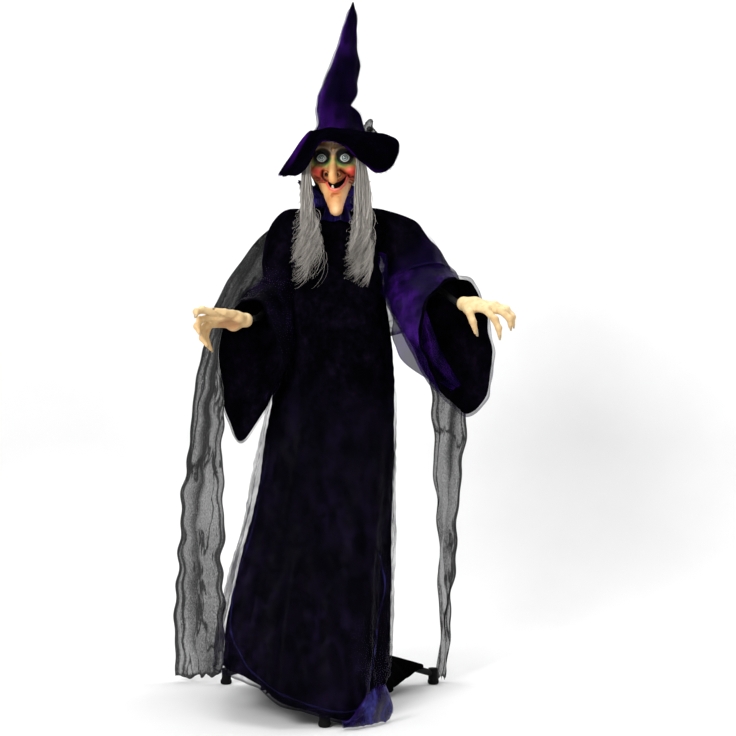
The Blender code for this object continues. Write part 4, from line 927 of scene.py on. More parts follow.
def grin_d(p):
    """The open mouth as seen from the front: a tilted crescent that hangs between its two corners."""
    x, z = p[..., 0], p[..., 2]
    u = (x - 0.0258) / 0.0238
    bow = np.clip(1 - u * u, 0, 1)
    line = 1.3455 + 0.349 * (x - 0.0020)
    upper = line - 0.0120 * bow
    lower = line - 0.0265 * bow ** 0.6
    return np.maximum(np.maximum(lower - z, z - upper) * 0.85, (np.abs(u) - 1) * 0.0238)


def face_d(p):
    x, y, z = p[..., 0], p[..., 1], p[..., 2]
    d = ball_d(p, (FACE_X, -0.010, 1.412), (0.066, 0.086, 0.078))
    d = join(d, ball_d(p, (0.0205, -0.030, 1.378), (0.0580, 0.062, 0.042)), 0.02)
    d = join(d, chain_d(p, CHIN, (0.039, 0.0220, 0.0168)), 0.020)
    for cheek in CHEEKS:
        d = join(d, ball_d(p, cheek, (0.0205, 0.0205, 0.0168)), 0.006)
    for side in (-1, 1):
        inner = (FACE_X + side * 0.009, -0.0900, 1.4270)
        outer = (FACE_X + side * 0.046, -0.0750, 1.4350)
        d = join(d, cone_d(p, inner, outer, 0.0070, 0.0055), 0.012)
    # The lips stand out before the mouth is cut.
    d = join(
        d,
        chain_d(
            p, [(a, b - 0.003, c - 0.002) for a, b, c in LIP],
            (0.0022, 0.0046, 0.0058, 0.0054, 0.0042, 0.0020)
        ),
        0.005
    )
    d = join(
        d,
        chain_d(
            p, [(a, b - 0.001, c + 0.0030) for a, b, c in MOUTH], (0.0018, 0.0026, 0.0030, 0.0028, 0.0016)
        ),
        0.006
    )
    d = join(d, chain_d(p, NOSE, (0.0075, 0.0084, 0.0114, 0.0112)), 0.008)
    for wing in WINGS:
        d = join(d, ball_d(p, wing, (0.0086, 0.0115, 0.0082)), 0.005)
    for side, wing in zip((1, -1), WINGS):
        hole = (wing[0] + side * 0.0015, wing[1] - 0.0100, wing[2] - 0.0030)
        d = cut(d, ball_d(p, hole, (0.0038, 0.0060, 0.0034)), 0.0015)
    for eye in EYES.values():
        d = cut(d, ball_d(p, (eye[0], eye[1] - 0.020, eye[2] - 0.001), (0.0210, 0.016, 0.0160)), 0.010)
        d = join(d, ball_d(p, eye, (EYE_R + 0.0030,) * 3), 0.004)
    flat = p * (1, 0, 1)
    for fold in (SMILE_LEFT, SMILE_RIGHT):
        away = chain_d(flat, [(a, 0, c) for a, _, c in fold], (0,) * 4)
        d = d + 0.0042 * np.exp(-((away / 0.0036) ** 2)) * (y > -0.116) * (y < MASK_FRONT)
    for a, b in WRINKLES:
        away = cone_d(flat, (a[0], 0, a[2]), (b[0], 0, b[2]), 0, 0)
        d = d + 0.0016 * np.exp(-((away / 0.0016) ** 2)) * (y < MASK_FRONT)
    for k in (-1, 1):
        top = (FACE_X + k * 0.0040, -0.0945, 1.4440)
        d = cut(d, cone_d(p, top, (FACE_X + k * 0.0045, -0.0945, 1.4240), 0.0010, 0.0016) - 0.0004, 0.004)
    d = cut(d, cone_d(p, (0.014, -0.1095, 1.3090), (0.028, -0.1095, 1.3090), 0.0022, 0.0022) - 0.0008, 0.007)
    d = cut(d, np.maximum(np.maximum(grin_d(p), y + 0.060), -0.119 - y), 0.0015)
    for eye in EYES.values():
        d = cut(d, ball_d(p, eye, (EYE_R + 0.0004,) * 3), 0.0008)
        d = cut(d, ball_d(p, (eye[0], eye[1] - 0.016, eye[2]), (0.0140, 0.020, 0.0110)), 0.0015)
    # A hollow shell, open at the back, under the hat and towards the neck.
    shell = ball_d(p, (FACE_X, -0.006, 1.405), (0.060, 0.070, 0.088))
    hollow = join(shell, chain_d(p, [(0.018, -0.02, 1.345), (0.0215, -0.080, 1.292)], (0.035, 0.013)), 0.01)
    eyes_keep = np.minimum(*[ball_d(p, e, (EYE_R + 0.0030,) * 3) for e in EYES.values()])
    d = cut(d, np.maximum(hollow, -eyes_keep), 0.002)
    return np.maximum(d, y - 0.002)


def paint_face(v):
    """Paint over the cast: warm skin, painted highlights and painted shade, eye shadow, liner, brows, cheeks,
    lips.
    """
    x, y, z = v.T
    colour = np.tile((0.66, 0.31, 0.115), (len(v), 1)).astype(float)

    def lay(mask, tone, strength=1.0):
        share = np.clip(mask * strength, 0, 1)[:, None]
        colour[:] = colour * (1 - share) + np.array(tone) * share

    def spot(centre, radii):
        q = ((v - np.array(centre)) / np.array(radii)) ** 2
        return np.exp(-q.sum(1))

    flat = v * (1, 0, 1)

    def stroke(points, wide, soft):
        """A brush line seen from the front, in x and z, that leaves the nose clean."""
        line = [(a, 0, c) for a, _, c in points]
        return (
            smoothstep(wide + soft, wide, chain_d(flat, line, (0,) * len(line))) * (y < MASK_FRONT)
            * (y > NOSE_ONLY)
        )

    # Painted shade: darker towards the face's sides and down the sides of the chin.
    lay(smoothstep(0.032, 0.060, np.abs(x - FACE_X)), (0.46, 0.15, 0.045), 0.7)
    lay(smoothstep(1.345, 1.290, z) * smoothstep(0.006, 0.022, np.abs(x - 0.0215)), (0.62, 0.28, 0.10), 0.6)
    # Painted highlights on the nose bridge, the nose tip and the chin; painted shadow in the folds beside the
    # nose and on the right of the nose tip.
    lay(spot((0.0140, -0.11, 1.398), (0.006, 0.05, 0.026)), (0.86, 0.56, 0.26), 0.85)
    lay(spot((0.0390, -0.10, 1.3700), (0.0090, 0.04, 0.0130)), (0.20, 0.055, 0.018), 0.9)
    lay(spot((-0.0100, -0.10, 1.3700), (0.0050, 0.04, 0.0120)), (0.20, 0.055, 0.018), 0.8)
    lay(spot((0.0110, -0.145, 1.362), (0.006, 0.03, 0.018)), (0.84, 0.54, 0.25), 0.9)
    lay(spot((0.0240, -0.13, 1.356), (0.0055, 0.03, 0.014)), (0.26, 0.09, 0.03), 0.75)
    lay(spot((0.0225, -0.13, 1.272), (0.011, 0.04, 0.018)), (0.88, 0.60, 0.33), 0.95)
    lay(spot((0.0240, -0.12, 1.300), (0.007, 0.04, 0.014)), (0.82, 0.50, 0.24), 0.7)
    # Painted highlights on the lower cheeks, the cheekbones and the forehead, and painted shade down both
    # sides of the nose bridge.
    for side in (-1, 1):
        lay(spot((0.0205 + side * 0.026, -0.085, 1.318), (0.009, 0.05, 0.022)), (0.84, 0.50, 0.22), 0.8)
        lay(spot((FACE_X + side * 0.042, -0.09, 1.396), (0.018, 0.05, 0.006)), (0.84, 0.66, 0.26), 0.85)
        lay(spot((FACE_X + side * 0.009, -0.10, 1.444), (0.010, 0.05, 0.014)), (0.98, 0.72, 0.44), 0.9)
        lay(spot((0.0140 + side * 0.0130, -0.10, 1.390), (0.0040, 0.04, 0.022)), (0.30, 0.09, 0.022), 0.85)
    for eye in EYES.values():
        dx, dz = x - eye[0], z - eye[2]
        around = np.hypot(dx / 1.16, dz)
        lay(
            smoothstep(0.0285, 0.0185, np.hypot(dx / 1.18, dz + 0.004)) * smoothstep(0.004, -0.004, dz),
            (0.30, 0.44, 0.10), 0.75
        )
        lay(smoothstep(0.0250, 0.0165, around) * smoothstep(0.008, -0.002, dz), (0.030, 0.165, 0.050), 0.95)
        lay(smoothstep(0.0255, 0.0170, around) * smoothstep(-0.002, 0.006, dz), (0.010, 0.030, 0.014), 0.97)
        lay(
            smoothstep(0.0290, 0.0225, np.hypot(dx / 1.10, dz - 0.002)) * smoothstep(0.004, 0.012, dz)
            * smoothstep(0.015, 0.021, around),
            (0.030, 0.026, 0.014), 0.85
        )
        lay(smoothstep(0.0176, 0.0150, np.hypot(dx / 1.26, dz)), LINER, 1.0)
        lid = smoothstep(0.0245, 0.0205, np.hypot(dx / 1.10, dz - 0.001)) * smoothstep(0.002, 0.010, dz)
        lay(lid, LINER, 0.9)
        arch = np.hypot(dx / 1.06, dz)
        lay(
            smoothstep(0.0042, 0.0018, np.abs(arch - 0.0290)) * smoothstep(0.002, 0.012, dz),
            (0.36, 0.28, 0.20), 0.9
        )
    for side, cheek in zip((-1, 1), CHEEKS):
        lay(
            spot((cheek[0] + side * 0.002, cheek[1] - 0.012, cheek[2] - 0.003), (0.0170, 0.05, 0.0135)),
            (0.62, 0.055, 0.040), 1.15
        )
        # A small painted highlight high on each cheek.
        lay(
            spot((cheek[0] - side * 0.003, cheek[1] - 0.02, cheek[2] + 0.004), (0.007, 0.05, 0.005)),
            (0.88, 0.22, 0.15), 0.7
        )
    # Painted shade: dark along the smile folds and the wrinkles by the mouth.
    for fold in (SMILE_LEFT, SMILE_RIGHT):
        lay(stroke(fold, 0.0020, 0.0080), (0.36, 0.050, 0.016), 0.95)
        lay(stroke(fold, 0.0012, 0.0030), (0.020, 0.005, 0.003), 0.95)
    for a, b in WRINKLES:
        lay(stroke((a, b), 0.0010, 0.0035), (0.48, 0.05, 0.03), 0.8)
        lay(stroke((a, b), 0.0006, 0.0012), (0.09, 0.010, 0.008), 0.9)
    # Painted shade round the nose wings and in the nostrils.
    for wing in WINGS:
        d = np.abs(ball_d(v, wing, (0.0086, 0.0115, 0.0082)))
        lay(smoothstep(0.0024, 0.0, d) * (y > wing[1] - 0.007), (0.12, 0.025, 0.010), 0.85)
    for side, wing in zip((1, -1), WINGS):
        hole = (wing[0] + side * 0.0015, wing[1] - 0.0100, wing[2] - 0.0030)
        lay(smoothstep(0.0016, 0.0, ball_d(v, hole, (0.0040, 0.0060, 0.0038))), (0.008, 0.004, 0.003), 1.0)
    # Painted shade in the frown lines between the brows.
    for k in (-1, 1):
        line = ((FACE_X + k * 0.0040, -0.0945, 1.4460), (FACE_X + k * 0.0045, -0.0945, 1.4230))
        lay(stroke(line, 0.0007, 0.0026), (0.22, 0.07, 0.03), 0.45)
    lay(stroke([(a, b, c - 0.0028) for a, b, c in LIP], 0.0040, 0.0022), (0.74, 0.115, 0.085), 0.97)
    # A thin painted highlight along the lower lip.
    lay(stroke([(a, b, c - 0.0030) for a, b, c in LIP[1:5]], 0.0008, 0.0018), (0.90, 0.36, 0.29), 0.7)
    lay(stroke([(a, b, c + 0.0025) for a, b, c in MOUTH], 0.0016, 0.0026), (0.30, 0.050, 0.030), 0.9)
    lay(smoothstep(0.0010, -0.0004, grin_d(v)) * (y < -0.05) * (y > NOSE_ONLY), (0.006, 0.002, 0.002), 1.0)
    # Painted shade under the lower lip and in the chin crease.
    lay(spot((0.0200, -0.10, 1.3150), (0.0110, 0.05, 0.0055)), (0.60, 0.14, 0.05), 0.65)
    lay(stroke(((0.0150, -0.11, 1.3125), (0.0310, -0.11, 1.3150)), 0.0008, 0.0070), (0.42, 0.10, 0.03), 0.6)
    lay(stroke(((0.0130, -0.11, 1.3060), (0.0170, -0.11, 1.2980)), 0.0008, 0.0050), (0.42, 0.12, 0.04), 0.5)
    # Painted shade: darker towards the back edges of the mask.
    lay(smoothstep(-0.060, -0.035, y), (0.40, 0.16, 0.06), 0.7)
    return colour


def make_face():
    verts, faces = skin_of(face_d, (-0.060, -0.150, 1.246), (0.092, 0.006, 1.478), 0.00135)
    skin = make_mesh("face_skin", verts, faces, FACE, {"paint": paint_face(verts)})
    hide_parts("face_mask", "jaw_shell")
    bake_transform(skin)
    # A dark lining closes the mouth behind the lips, and the neck goes down inside the collar.
    lining = Look("mouth_lining", Base_Color=(0.012, 0.004, 0.004, 1), Roughness=0.5)
    lining.bump((lining.noise(200, 3), 0.3, 0.0006))
    rows, columns = 20, 40
    u = np.linspace(-1, 1, columns)[None, :] * np.ones((rows, 1))
    w = np.linspace(0, 1, rows)[:, None] * np.ones((1, columns))
    points = np.stack(
        [0.022 + 0.040 * u, -0.058 + 0.025 * u * u + 0.004 * np.sin(9 * w), 1.376 - 0.062 * w], -1
    )
    back = grid_mesh("mouth_back", points, lining.material)
    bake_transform(back)
    # One worn tooth stands in the lower gum.
    u = np.linspace(0, 2 * math.pi, 20, endpoint=False)[None, :]
    w = np.linspace(0.05, math.pi - 0.05, 16)[:, None]
    square = np.abs(np.sin(w)) ** 0.6
    points = np.stack(
        [
            0.0142 + 0.0034 * square * np.cos(u), -0.0925 + 0.0024 * square * np.sin(u),
            1.3298 + 0.0064 * np.cos(w) + 0 * u
        ],
        -1
    )
    ivory = hard("ivory_tooth", (0.86, 0.78, 0.58), 0.28, coat=0.5, wear=(0.50, 0.36, 0.16))
    tooth = grid_mesh("tooth_ivory", points, ivory, wrap=True)
    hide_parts("tooth")
    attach(tooth, "jaw")


def make_eyes():
    """Glossy acrylic eyes painted in rings, from a light dot, which is a painted highlight, to pale grey,
    inside almond-shaped lids.
    """
    for side, (x, y, z) in EYES.items():
        tilt = np.linspace(0, math.pi * 0.62, 40)[:, None]
        turn = np.linspace(0, 2 * math.pi, 48, endpoint=False)[None, :]
        r = EYE_R - 0.0004
        points = np.stack(
            [
                x + r * np.sin(tilt) * np.cos(turn), y - r * np.cos(tilt) + 0 * turn,
                z + r * np.sin(tilt) * np.sin(turn)
            ],
            -1
        )
        look = Look(f"eye_paint_{side}", Roughness=0.08, Coat_Weight=1.0, Coat_Roughness=0.03)
        away = look.attribute("away")
        rays = look.noise(900, 2)
        streak = look.math("ADD", away, look.math("MULTIPLY", look.math("SUBTRACT", rays, 0.5), 0.05))
        # The light dot at the centre is a painted highlight; the dark pupil, iris and sclera rings are the
        # eye's own paint.
        colour = look.ramp(
            streak,
            (0.00, (0.75, 0.78, 0.76)),
            (0.06, (0.70, 0.74, 0.72)),
            (0.09, (0.006, 0.009, 0.009)),
            (0.20, (0.008, 0.012, 0.012)),
            (0.25, (0.16, 0.22, 0.21)),
            (0.40, (0.30, 0.37, 0.35)),
            (0.45, (0.020, 0.032, 0.034)),
            (0.52, (0.022, 0.036, 0.036)),
            (0.57, (0.60, 0.66, 0.60)),
            (0.80, (0.66, 0.70, 0.64)),
            (1.00, (0.50, 0.54, 0.48)),
        )
        look.join("Base Color", look.mix(look.attribute("lid"), colour, LINER)).bump((rays, 0.05, 0.0002))
        spread = np.sin(tilt) * np.ones_like(turn)
        across, up = spread * np.cos(turn), spread * np.sin(turn)
        lid = smoothstep(-0.03, 0.05, np.abs(up) - 0.70 * (1 - (across / 0.96) ** 2))
        eye = grid_mesh(
            f"eyeball_{side}", points, look.material, wrap=True, attributes={"away": spread, "lid": lid}
        )
        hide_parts(f"eye_{side}")
        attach(eye, "head")


# ---------------------------------------------------------------- hands


class Arm:
    def __init__(self, side, wrist, forward, back, palm):
        self.side, self.palm = side, palm
        self.wrist, self.forward = np.array(wrist), np.array(forward) / np.linalg.norm(forward)
        back = np.array(back) - np.dot(back, self.forward) * self.forward
        self.back = back / np.linalg.norm(back)
        cross = np.cross(self.back, self.forward)
        self.thumb = cross if side == "left" else -cross

    def at(self, forward, thumb, back):
        return self.wrist + self.forward * forward + self.thumb * thumb + self.back * back


ARMS = (
    Arm("left", (-0.207, -0.128, 0.988), (-0.94, -0.34, 0.03), (0.0, 0.62, 0.78), 0.090),
    Arm("right", (0.350, -0.120, 1.030), (0.86, -0.46, -0.16), (0.0, -0.30, 0.95), 0.076),
)
# Each finger's place across the palm, its length and how far it fans out. The bones' bends are in degrees.
FINGERS = ((0.026, 0.93, 0.20), (0.009, 1.0, 0.05), (-0.009, 0.97, -0.08), (-0.025, 0.82, -0.22))
BONES = (0.036, 0.026, 0.022)
SPLAY = {"left": 1.7, "right": 1.0}
CURL = {
    "left": ((6, 30, 38), (26, 36, 36), (48, 38, 30), (66, 36, 24)),
    "right": ((34, 22, 18), (2, 34, 42), (5, 36, 42), (12, 38, 40))
}


def finger_points(arm, i):
    across, share, fan = FINGERS[i]
    points = [arm.at(arm.palm, across, 0.0)]
    bend = 0.0
    fan *= SPLAY[arm.side]
    for bone, turn in zip(BONES, CURL[arm.side][i]):
        bend += math.radians(turn)
        step = (
            arm.forward * math.cos(bend) * math.cos(fan) + arm.thumb * math.sin(fan)
            - arm.back * math.sin(bend)
        )
        points.append(points[-1] + step / np.linalg.norm(step) * bone * share)
    return points


def thumb_points(arm):
    if arm.side == "left":
        return [
            arm.at(0.014, 0.012, -0.004), arm.at(0.042, 0.032, -0.008), arm.at(0.066, 0.042, -0.012),
            arm.at(0.088, 0.048, -0.010)
        ]
    return [
        arm.at(0.014, 0.014, -0.002), arm.at(0.034, 0.036, -0.010), arm.at(0.050, 0.048, -0.030),
        arm.at(0.060, 0.050, -0.054)
    ]


def make_hand(arm):
    digits = [finger_points(arm, i) for i in range(4)] + [thumb_points(arm)]
    bases = [arm.at(0.020, a * 0.62, 0.0) for a, _, _ in FINGERS]

    def hand_d(p):
        d = cone_d(p, arm.at(0.000, 0, 0), arm.at(0.030, 0.0, 0), 0.0185, 0.0190)
        end = arm.palm - 0.008
        d = join(d, cone_d(p, arm.at(0.030, 0.006, 0), arm.at(end, 0.010, -0.002), 0.0165, 0.0125), 0.015)
        d = join(d, cone_d(p, arm.at(0.030, -0.008, 0), arm.at(end, -0.014, -0.002), 0.0160, 0.0115), 0.015)
        d = join(d, ball_d(p, arm.at(0.026, 0.017, -0.009), (0.017, 0.017, 0.014)), 0.012)
        d = join(d, ball_d(p, arm.at(0.028, -0.019, -0.007), (0.014, 0.014, 0.012)), 0.012)
        d = cut(d, ball_d(p, arm.at(0.046, 0.0, -0.021), (0.017, 0.017, 0.012)), 0.012)
        for base, points in zip(bases, digits[:4]):
            d = join(d, cone_d(p, base, points[0], 0.0080, 0.0082), 0.006)
            d = join(d, ball_d(p, points[0] + arm.back * 0.003, (0.0098,) * 3), 0.005)
        for i, points in enumerate(digits):
            thick = (0.0096, 0.0088, 0.0078, 0.0046) if i < 4 else (0.0120, 0.0102, 0.0088, 0.0054)
            one = chain_d(p, points, thick)
            for knuckle, r in zip(points[1:3], (0.0096, 0.0086)):
                one = join(one, ball_d(p, knuckle + arm.back * 0.0012, (r,) * 3), 0.004)
            d = join(d, one, 0.0045)
        # Tendons stand along the back, and creases cross the joints.
        for base, points in zip(bases, digits[:4]):
            d = join(
                d, cone_d(p, base + arm.back * 0.0120, points[0] + arm.back * 0.0070, 0.0016, 0.0020),
                0.005
            )
        for points in digits:
            for a, b in zip(points[:2], points[1:3]):
                along = (b - a) / np.linalg.norm(b - a)
                for k in (-1, 1):
                    at = b + along * 0.0028 * k
                    ring = np.abs((p - at) @ along)
                    near = np.linalg.norm(p - at, axis=-1)
                    d = d + 0.0007 * np.exp(-((ring / 0.0007) ** 2)) * np.exp(-((near / 0.012) ** 4))
        return cut(d, cone_d(p, arm.at(-0.03, 0, 0), arm.at(0.0300, 0, 0), 0.0084, 0.0084), 0.001)

    corners = np.array(
        [
            *[q for points in digits for q in points], arm.at(-0.02, 0.02, 0.02),
            arm.at(-0.02, -0.02, -0.02)
        ]
    )
    verts, faces = skin_of(hand_d, corners.min(0) - 0.022, corners.max(0) + 0.022, 0.00125)
    colour = np.tile((0.76, 0.60, 0.33), (len(verts), 1)).astype(float)

    def lay(mask, tone, strength=1.0):
        share = np.clip(mask * strength, 0, 1)[:, None]
        colour[:] = colour * (1 - share) + np.array(tone) * share

    # Painted shade: darker on the palm side and in the hollow of the palm.
    low = (verts - arm.wrist) @ arm.back
    lay(smoothstep(0.0, -0.014, low), (0.62, 0.38, 0.17), 0.5)
    lay(
        smoothstep(0.016, 0.0, ball_d(verts, arm.at(0.046, 0.0, -0.021), (0.017, 0.017, 0.012))),
        (0.42, 0.20, 0.09), 0.75
    )
    # Painted highlights on the knuckles.
    for points in digits:
        for knuckle in points[:3]:
            lay(
                np.exp(-(np.linalg.norm(verts - knuckle - arm.back * 0.008, axis=1) / 0.006) ** 2),
                (0.90, 0.78, 0.50), 0.7
            )
    lay(smoothstep(0.2, 0.8, ripple(verts, 0.018, 61)), (0.55, 0.36, 0.16), 0.30)
    hand = make_mesh(f"hand_skin_{arm.side}", verts, faces, HAND, {"paint": colour})
    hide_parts(f"hand_{arm.side}")
    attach(hand, f"hand_{arm.side}")
    nail = hard("nail", (0.46, 0.34, 0.18), 0.35, grain=500, coat=0.3)
    pieces = []
    for n, points in enumerate(digits):
        along = points[3] - points[2]
        along = along / np.linalg.norm(along)
        across = np.cross(along, arm.back)
        across /= np.linalg.norm(across)
        over = np.cross(across, along)
        size = 1.2 if n == 4 else 1.0
        u, w = np.meshgrid(np.linspace(-1, 1, 13), np.linspace(0, 1, 15))
        wide = 0.0042 * size * (1 - 0.35 * w ** 2.5)
        middle = points[3] - along * 0.0060 * size
        place = (
            middle
            + along * ((0.0155 * size) * w * (1 - 0.18 * u * u))[..., None]
            + across * (wide * u)[..., None]
            + over * (0.0049 * size - 0.0026 * u * u - 0.0035 * w * w)[..., None]
        )
        pieces.append(place.reshape(-1, 3))
    faces = np.concatenate([grid_faces(15, 13) + 195 * k for k in range(5)])
    nails = make_mesh(f"nails_{arm.side}", np.concatenate(pieces), faces, nail)
    thicken(nails, 0.0008)
    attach(nails, f"hand_{arm.side}")


# ---------------------------------------------------------------- hat

HAT_BASE, HAT_TOP = 1.463, 1.830

# share of height, x, y, half width, half depth
CROWN = (
    (0.00, 0.037, 0.004, 0.074, 0.088),
    (0.05, 0.035, 0.004, 0.072, 0.082),
    (0.10, 0.033, 0.004, 0.062, 0.072),
    (0.17, 0.025, 0.004, 0.0535, 0.064),
    (0.22, 0.021, 0.004, 0.0500, 0.060),
    (0.267, 0.0195, 0.004, 0.0455, 0.057),
    (0.315, 0.0255, 0.004, 0.0505, 0.054),
    (0.42, 0.0345, 0.004, 0.0465, 0.047),
    (0.54, 0.0430, 0.004, 0.0375, 0.038),
    (0.673, 0.0510, 0.004, 0.0265, 0.029),
    (0.79, 0.0570, 0.004, 0.0195, 0.021),
    (0.87, 0.0610, 0.004, 0.0140, 0.015),
    (0.95, 0.0640, 0.004, 0.0075, 0.008),
    (1.00, 0.0655, 0.004, 0.0022, 0.0022),
)

# angle, then the brim's edge: x, y, z, and how late it drops on its way out
BRIM = (
    (0, 0.186, 0.000, 1.446, 3.0),
    (30, 0.150, 0.085, 1.462, 2.0),
    (60, 0.085, 0.138, 1.462, 1.5),
    (90, 0.012, 0.152, 1.455, 1.5),
    (120, -0.055, 0.135, 1.440, 1.4),
    (150, -0.105, 0.080, 1.405, 1.2),
    (172, -0.124, 0.020, 1.380, 1.0),
    (190, -0.126, -0.030, 1.376, 0.95),
    (208, -0.103, -0.082, 1.364, 1.0),
    (224, -0.072, -0.118, 1.366, 1.1),
    (236, -0.048, -0.134, 1.384, 1.2),
    (246, -0.027, -0.142, 1.418, 1.2),
    (262, 0.006, -0.150, 1.4355, 1.3),
    (280, 0.046, -0.150, 1.427, 1.4),
    (296, 0.086, -0.140, 1.392, 1.8),
    (311, 0.124, -0.120, 1.368, 2.2),
    (330, 0.163, -0.082, 1.390, 2.8),
    (346, 0.182, -0.040, 1.424, 3.0),
    (360, 0.186, 0.000, 1.446, 3.0),
)


def make_hat():
    rows, columns = 240, 200
    v = np.linspace(0, 1, rows)
    table = curve_at(CROWN, v)
    turn = np.linspace(0, 2 * math.pi, columns, endpoint=False)[None, :]
    vv = v[:, None] * np.ones_like(turn)
    # The tall soft cone has slumped into broad creases, deepest low on its right side.
    body = smoothstep(0.02, 0.10, vv) * smoothstep(1.0, 0.80, vv)
    slump = (
        pleat(30 * vv + 1.8 * np.sin(turn + 0.8) + 4 * vv * vv)
        * (0.35 + 0.65 * smoothstep(0.55, 0.15, vv))
    )
    slump2 = pleat(17 * vv - 1.6 * np.sin(turn - 1.0) + 2)
    crease = (0.0030 * slump + 0.0026 * slump2) * body * (0.8 + 0.4 * np.cos(turn - 0.3))
    crease += 0.0016 * pleat(5 * turn + 9 * vv) * body
    seam = -0.0020 * np.exp(-(((turn - 2.2) / 0.05) ** 2)) * np.ones_like(vv)
    x = table[:, 0, None] + (table[:, 2, None] + crease + seam) * np.cos(turn)
    y = table[:, 1, None] + (table[:, 3, None] + crease + seam) * np.sin(turn)
    z = HAT_BASE + (HAT_TOP - HAT_BASE) * vv + 0.004 * ripple(np.stack([x, y, vv * 0.4], -1), 0.08, 21) * body
    points = np.stack([x, y, z], -1)
    # A painted purple highlight down the crown's left side and round its lower left, in patches, carried by
    # the "tint" attribute.
    lit = smoothstep(0.62, 0.93, -np.cos(turn - 0.15)) * smoothstep(0.95, 0.55, vv)
    lit = np.maximum(lit, 0.55 * smoothstep(0.36, 0.10, vv) * smoothstep(-0.1, 0.7, -np.cos(turn - 0.5)))
    lit = lit * (0.55 + 0.45 * ripple(points, 0.05, 23))
    crown = grid_mesh("crown", points, VELVET_HAT, wrap=True, attributes={"tint": np.clip(lit, 0, 1)})
    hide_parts("hat_crown")
    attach(crown, "head")

    outset = 0.0032 + 0.0020 * np.sin(4 * turn + 13 * vv) + 0.0016 * np.sin(9 * turn - 7 * vv)
    spread = np.stack([np.cos(turn) + 0 * vv, np.sin(turn) + 0 * vv, 0 * vv], -1)
    veil_points = (points + spread * (outset * smoothstep(1.0, 0.9, vv))[..., None])[14:228]
    shape = veil_points.shape[:2]
    # The sheer purple veil over the crown is real; its extra strength on the crown's left side is a painted
    # highlight.
    fade = {
        "edge": np.zeros(shape),
        "veil": 0.25 + 0.45 * smoothstep(0.2, 0.95, -np.cos(turn)) * np.ones(shape)
    }
    veil = grid_mesh("crown_veil", veil_points, ORGANZA_BRIGHT, wrap=True, attributes=fade)
    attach(veil, "head")

    # The brim slopes down on the left, and on the right it runs out level and then folds down.
    columns = 320
    v, turn = rings(70, columns)
    rim_x, rim_y, rim_z, late = np.moveaxis(curve_at(BRIM, np.degrees(turn)), -1, 0)
    c, s = np.cos(turn), np.sin(turn)
    in_x, in_y, in_z = 0.035 + 0.070 * c, 0.004 + 0.080 * s, 1.490 - 0.008 * c + 0.004 * s
    out = 1 - (1 - v) ** (1 + 0.35 * (late - 1))
    flat_x, flat_y = in_x + (rim_x - in_x) * out, in_y + (rim_y - in_y) * out
    z = in_z + (rim_z - in_z) * v ** (0.75 + 0.55 * late)
    wave = 0.005 * np.sin(3 * turn + 0.5) * v ** 2 + 0.0030 * np.sin(7 * turn + 2) * v ** 2
    z = (
        z + wave + 0.0018 * ripple(np.stack([flat_x, flat_y, 0 * v], -1), 0.05, 17)
        - 0.010 * np.exp(-((v / 0.10) ** 2))
    )
    points = np.stack([flat_x, flat_y, z], -1)
    # A painted purple highlight along the brim's left lobe and in patches at its edge, carried by the "tint"
    # attribute.
    left = smoothstep(0.86, 0.985, -np.cos(turn - 0.02))
    lit = (
        left * smoothstep(0.10, 0.35, v) * smoothstep(0.98, 0.62, v)
        * (0.75 + 0.35 * ripple(points, 0.04, 29))
    )
    lit = np.maximum(
        lit, 0.28 * smoothstep(0.955, 0.985, v) * smoothstep(0.2, 0.6, np.abs(ripple(points, 0.16, 31)))
    )
    brim = grid_mesh("brim", points, VELVET_BRIM, wrap=True, attributes={"tint": np.clip(lit, 0, 1)})
    thicken(brim, 0.0040)
    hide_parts("hat_brim")
    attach(brim, "head")

    # A narrow sheer frill stands out all round the brim's edge.
    v2 = np.linspace(0, 1, 7)[:, None]
    rim = points[-1]
    out = rim - np.array((0.025, 0.0, rim[:, 2].mean()))
    out[:, 2] = 0
    out /= np.linalg.norm(out, axis=1, keepdims=True)
    frill = rim[None] + out[None] * (v2 * 0.0035)[..., None]
    frill[..., 2] += 0.0020 * v2 * np.sin(60 * turn[:1]) - 0.002 * v2
    fade = {"edge": np.full((7, columns), 0.2), "veil": np.full((7, columns), 0.8)}
    frill = grid_mesh("brim_frill", frill, ORGANZA_BRIGHT, wrap=True, attributes=fade)
    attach(frill, "head")
    return brim


def make_bow():
    """Gauze gathered into drooping loops behind the crown at the right."""
    made = []
    loops = (
        (0.000, 0.010, 0.010, 0.011, 0.026, 0.3), (0.014, 0.016, -0.002, 0.012, 0.019, -0.5),
        (0.026, 0.004, -0.012, 0.016, 0.010, -0.9)
    )
    for k, (dx, dy, dz, wide, tall, lean) in enumerate(loops):
        tilt = np.linspace(0.05, math.pi - 0.05, 40)[:, None]
        turn = np.linspace(0, 2 * math.pi, 60, endpoint=False)[None, :]
        crumple = 1 + 0.20 * np.sin(5 * turn + 4 * tilt + k) + 0.12 * np.sin(9 * turn - 11 * tilt)
        x = 0.104 + dx + wide * np.sin(tilt) * np.cos(turn) * crumple + lean * tall * np.cos(tilt)
        y = 0.040 + dy + 0.014 * np.sin(tilt) * np.sin(turn) * crumple
        z = 1.494 + dz + tall * np.cos(tilt) * (0.85 + 0.15 * crumple)
        made.append(np.stack([x, y, z], -1))
    verts = np.concatenate([m.reshape(-1, 3) for m in made])
    faces = np.concatenate([grid_faces(40, 60, True) + 2400 * k for k in range(3)])
    dense = 0.50 + 0.35 * np.clip(ripple(verts, 0.02, 51), 0, 1)
    bow = make_mesh("gauze_bow", verts, faces, GAUZE, {"dense": dense}, uv=verts[:, [0, 2]])
    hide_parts("hat_bow")
    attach(bow, "head")


# ---------------------------------------------------------------- hair and collar

BELOW_BRIM, BRIM_GAP = 1.25, 0.006


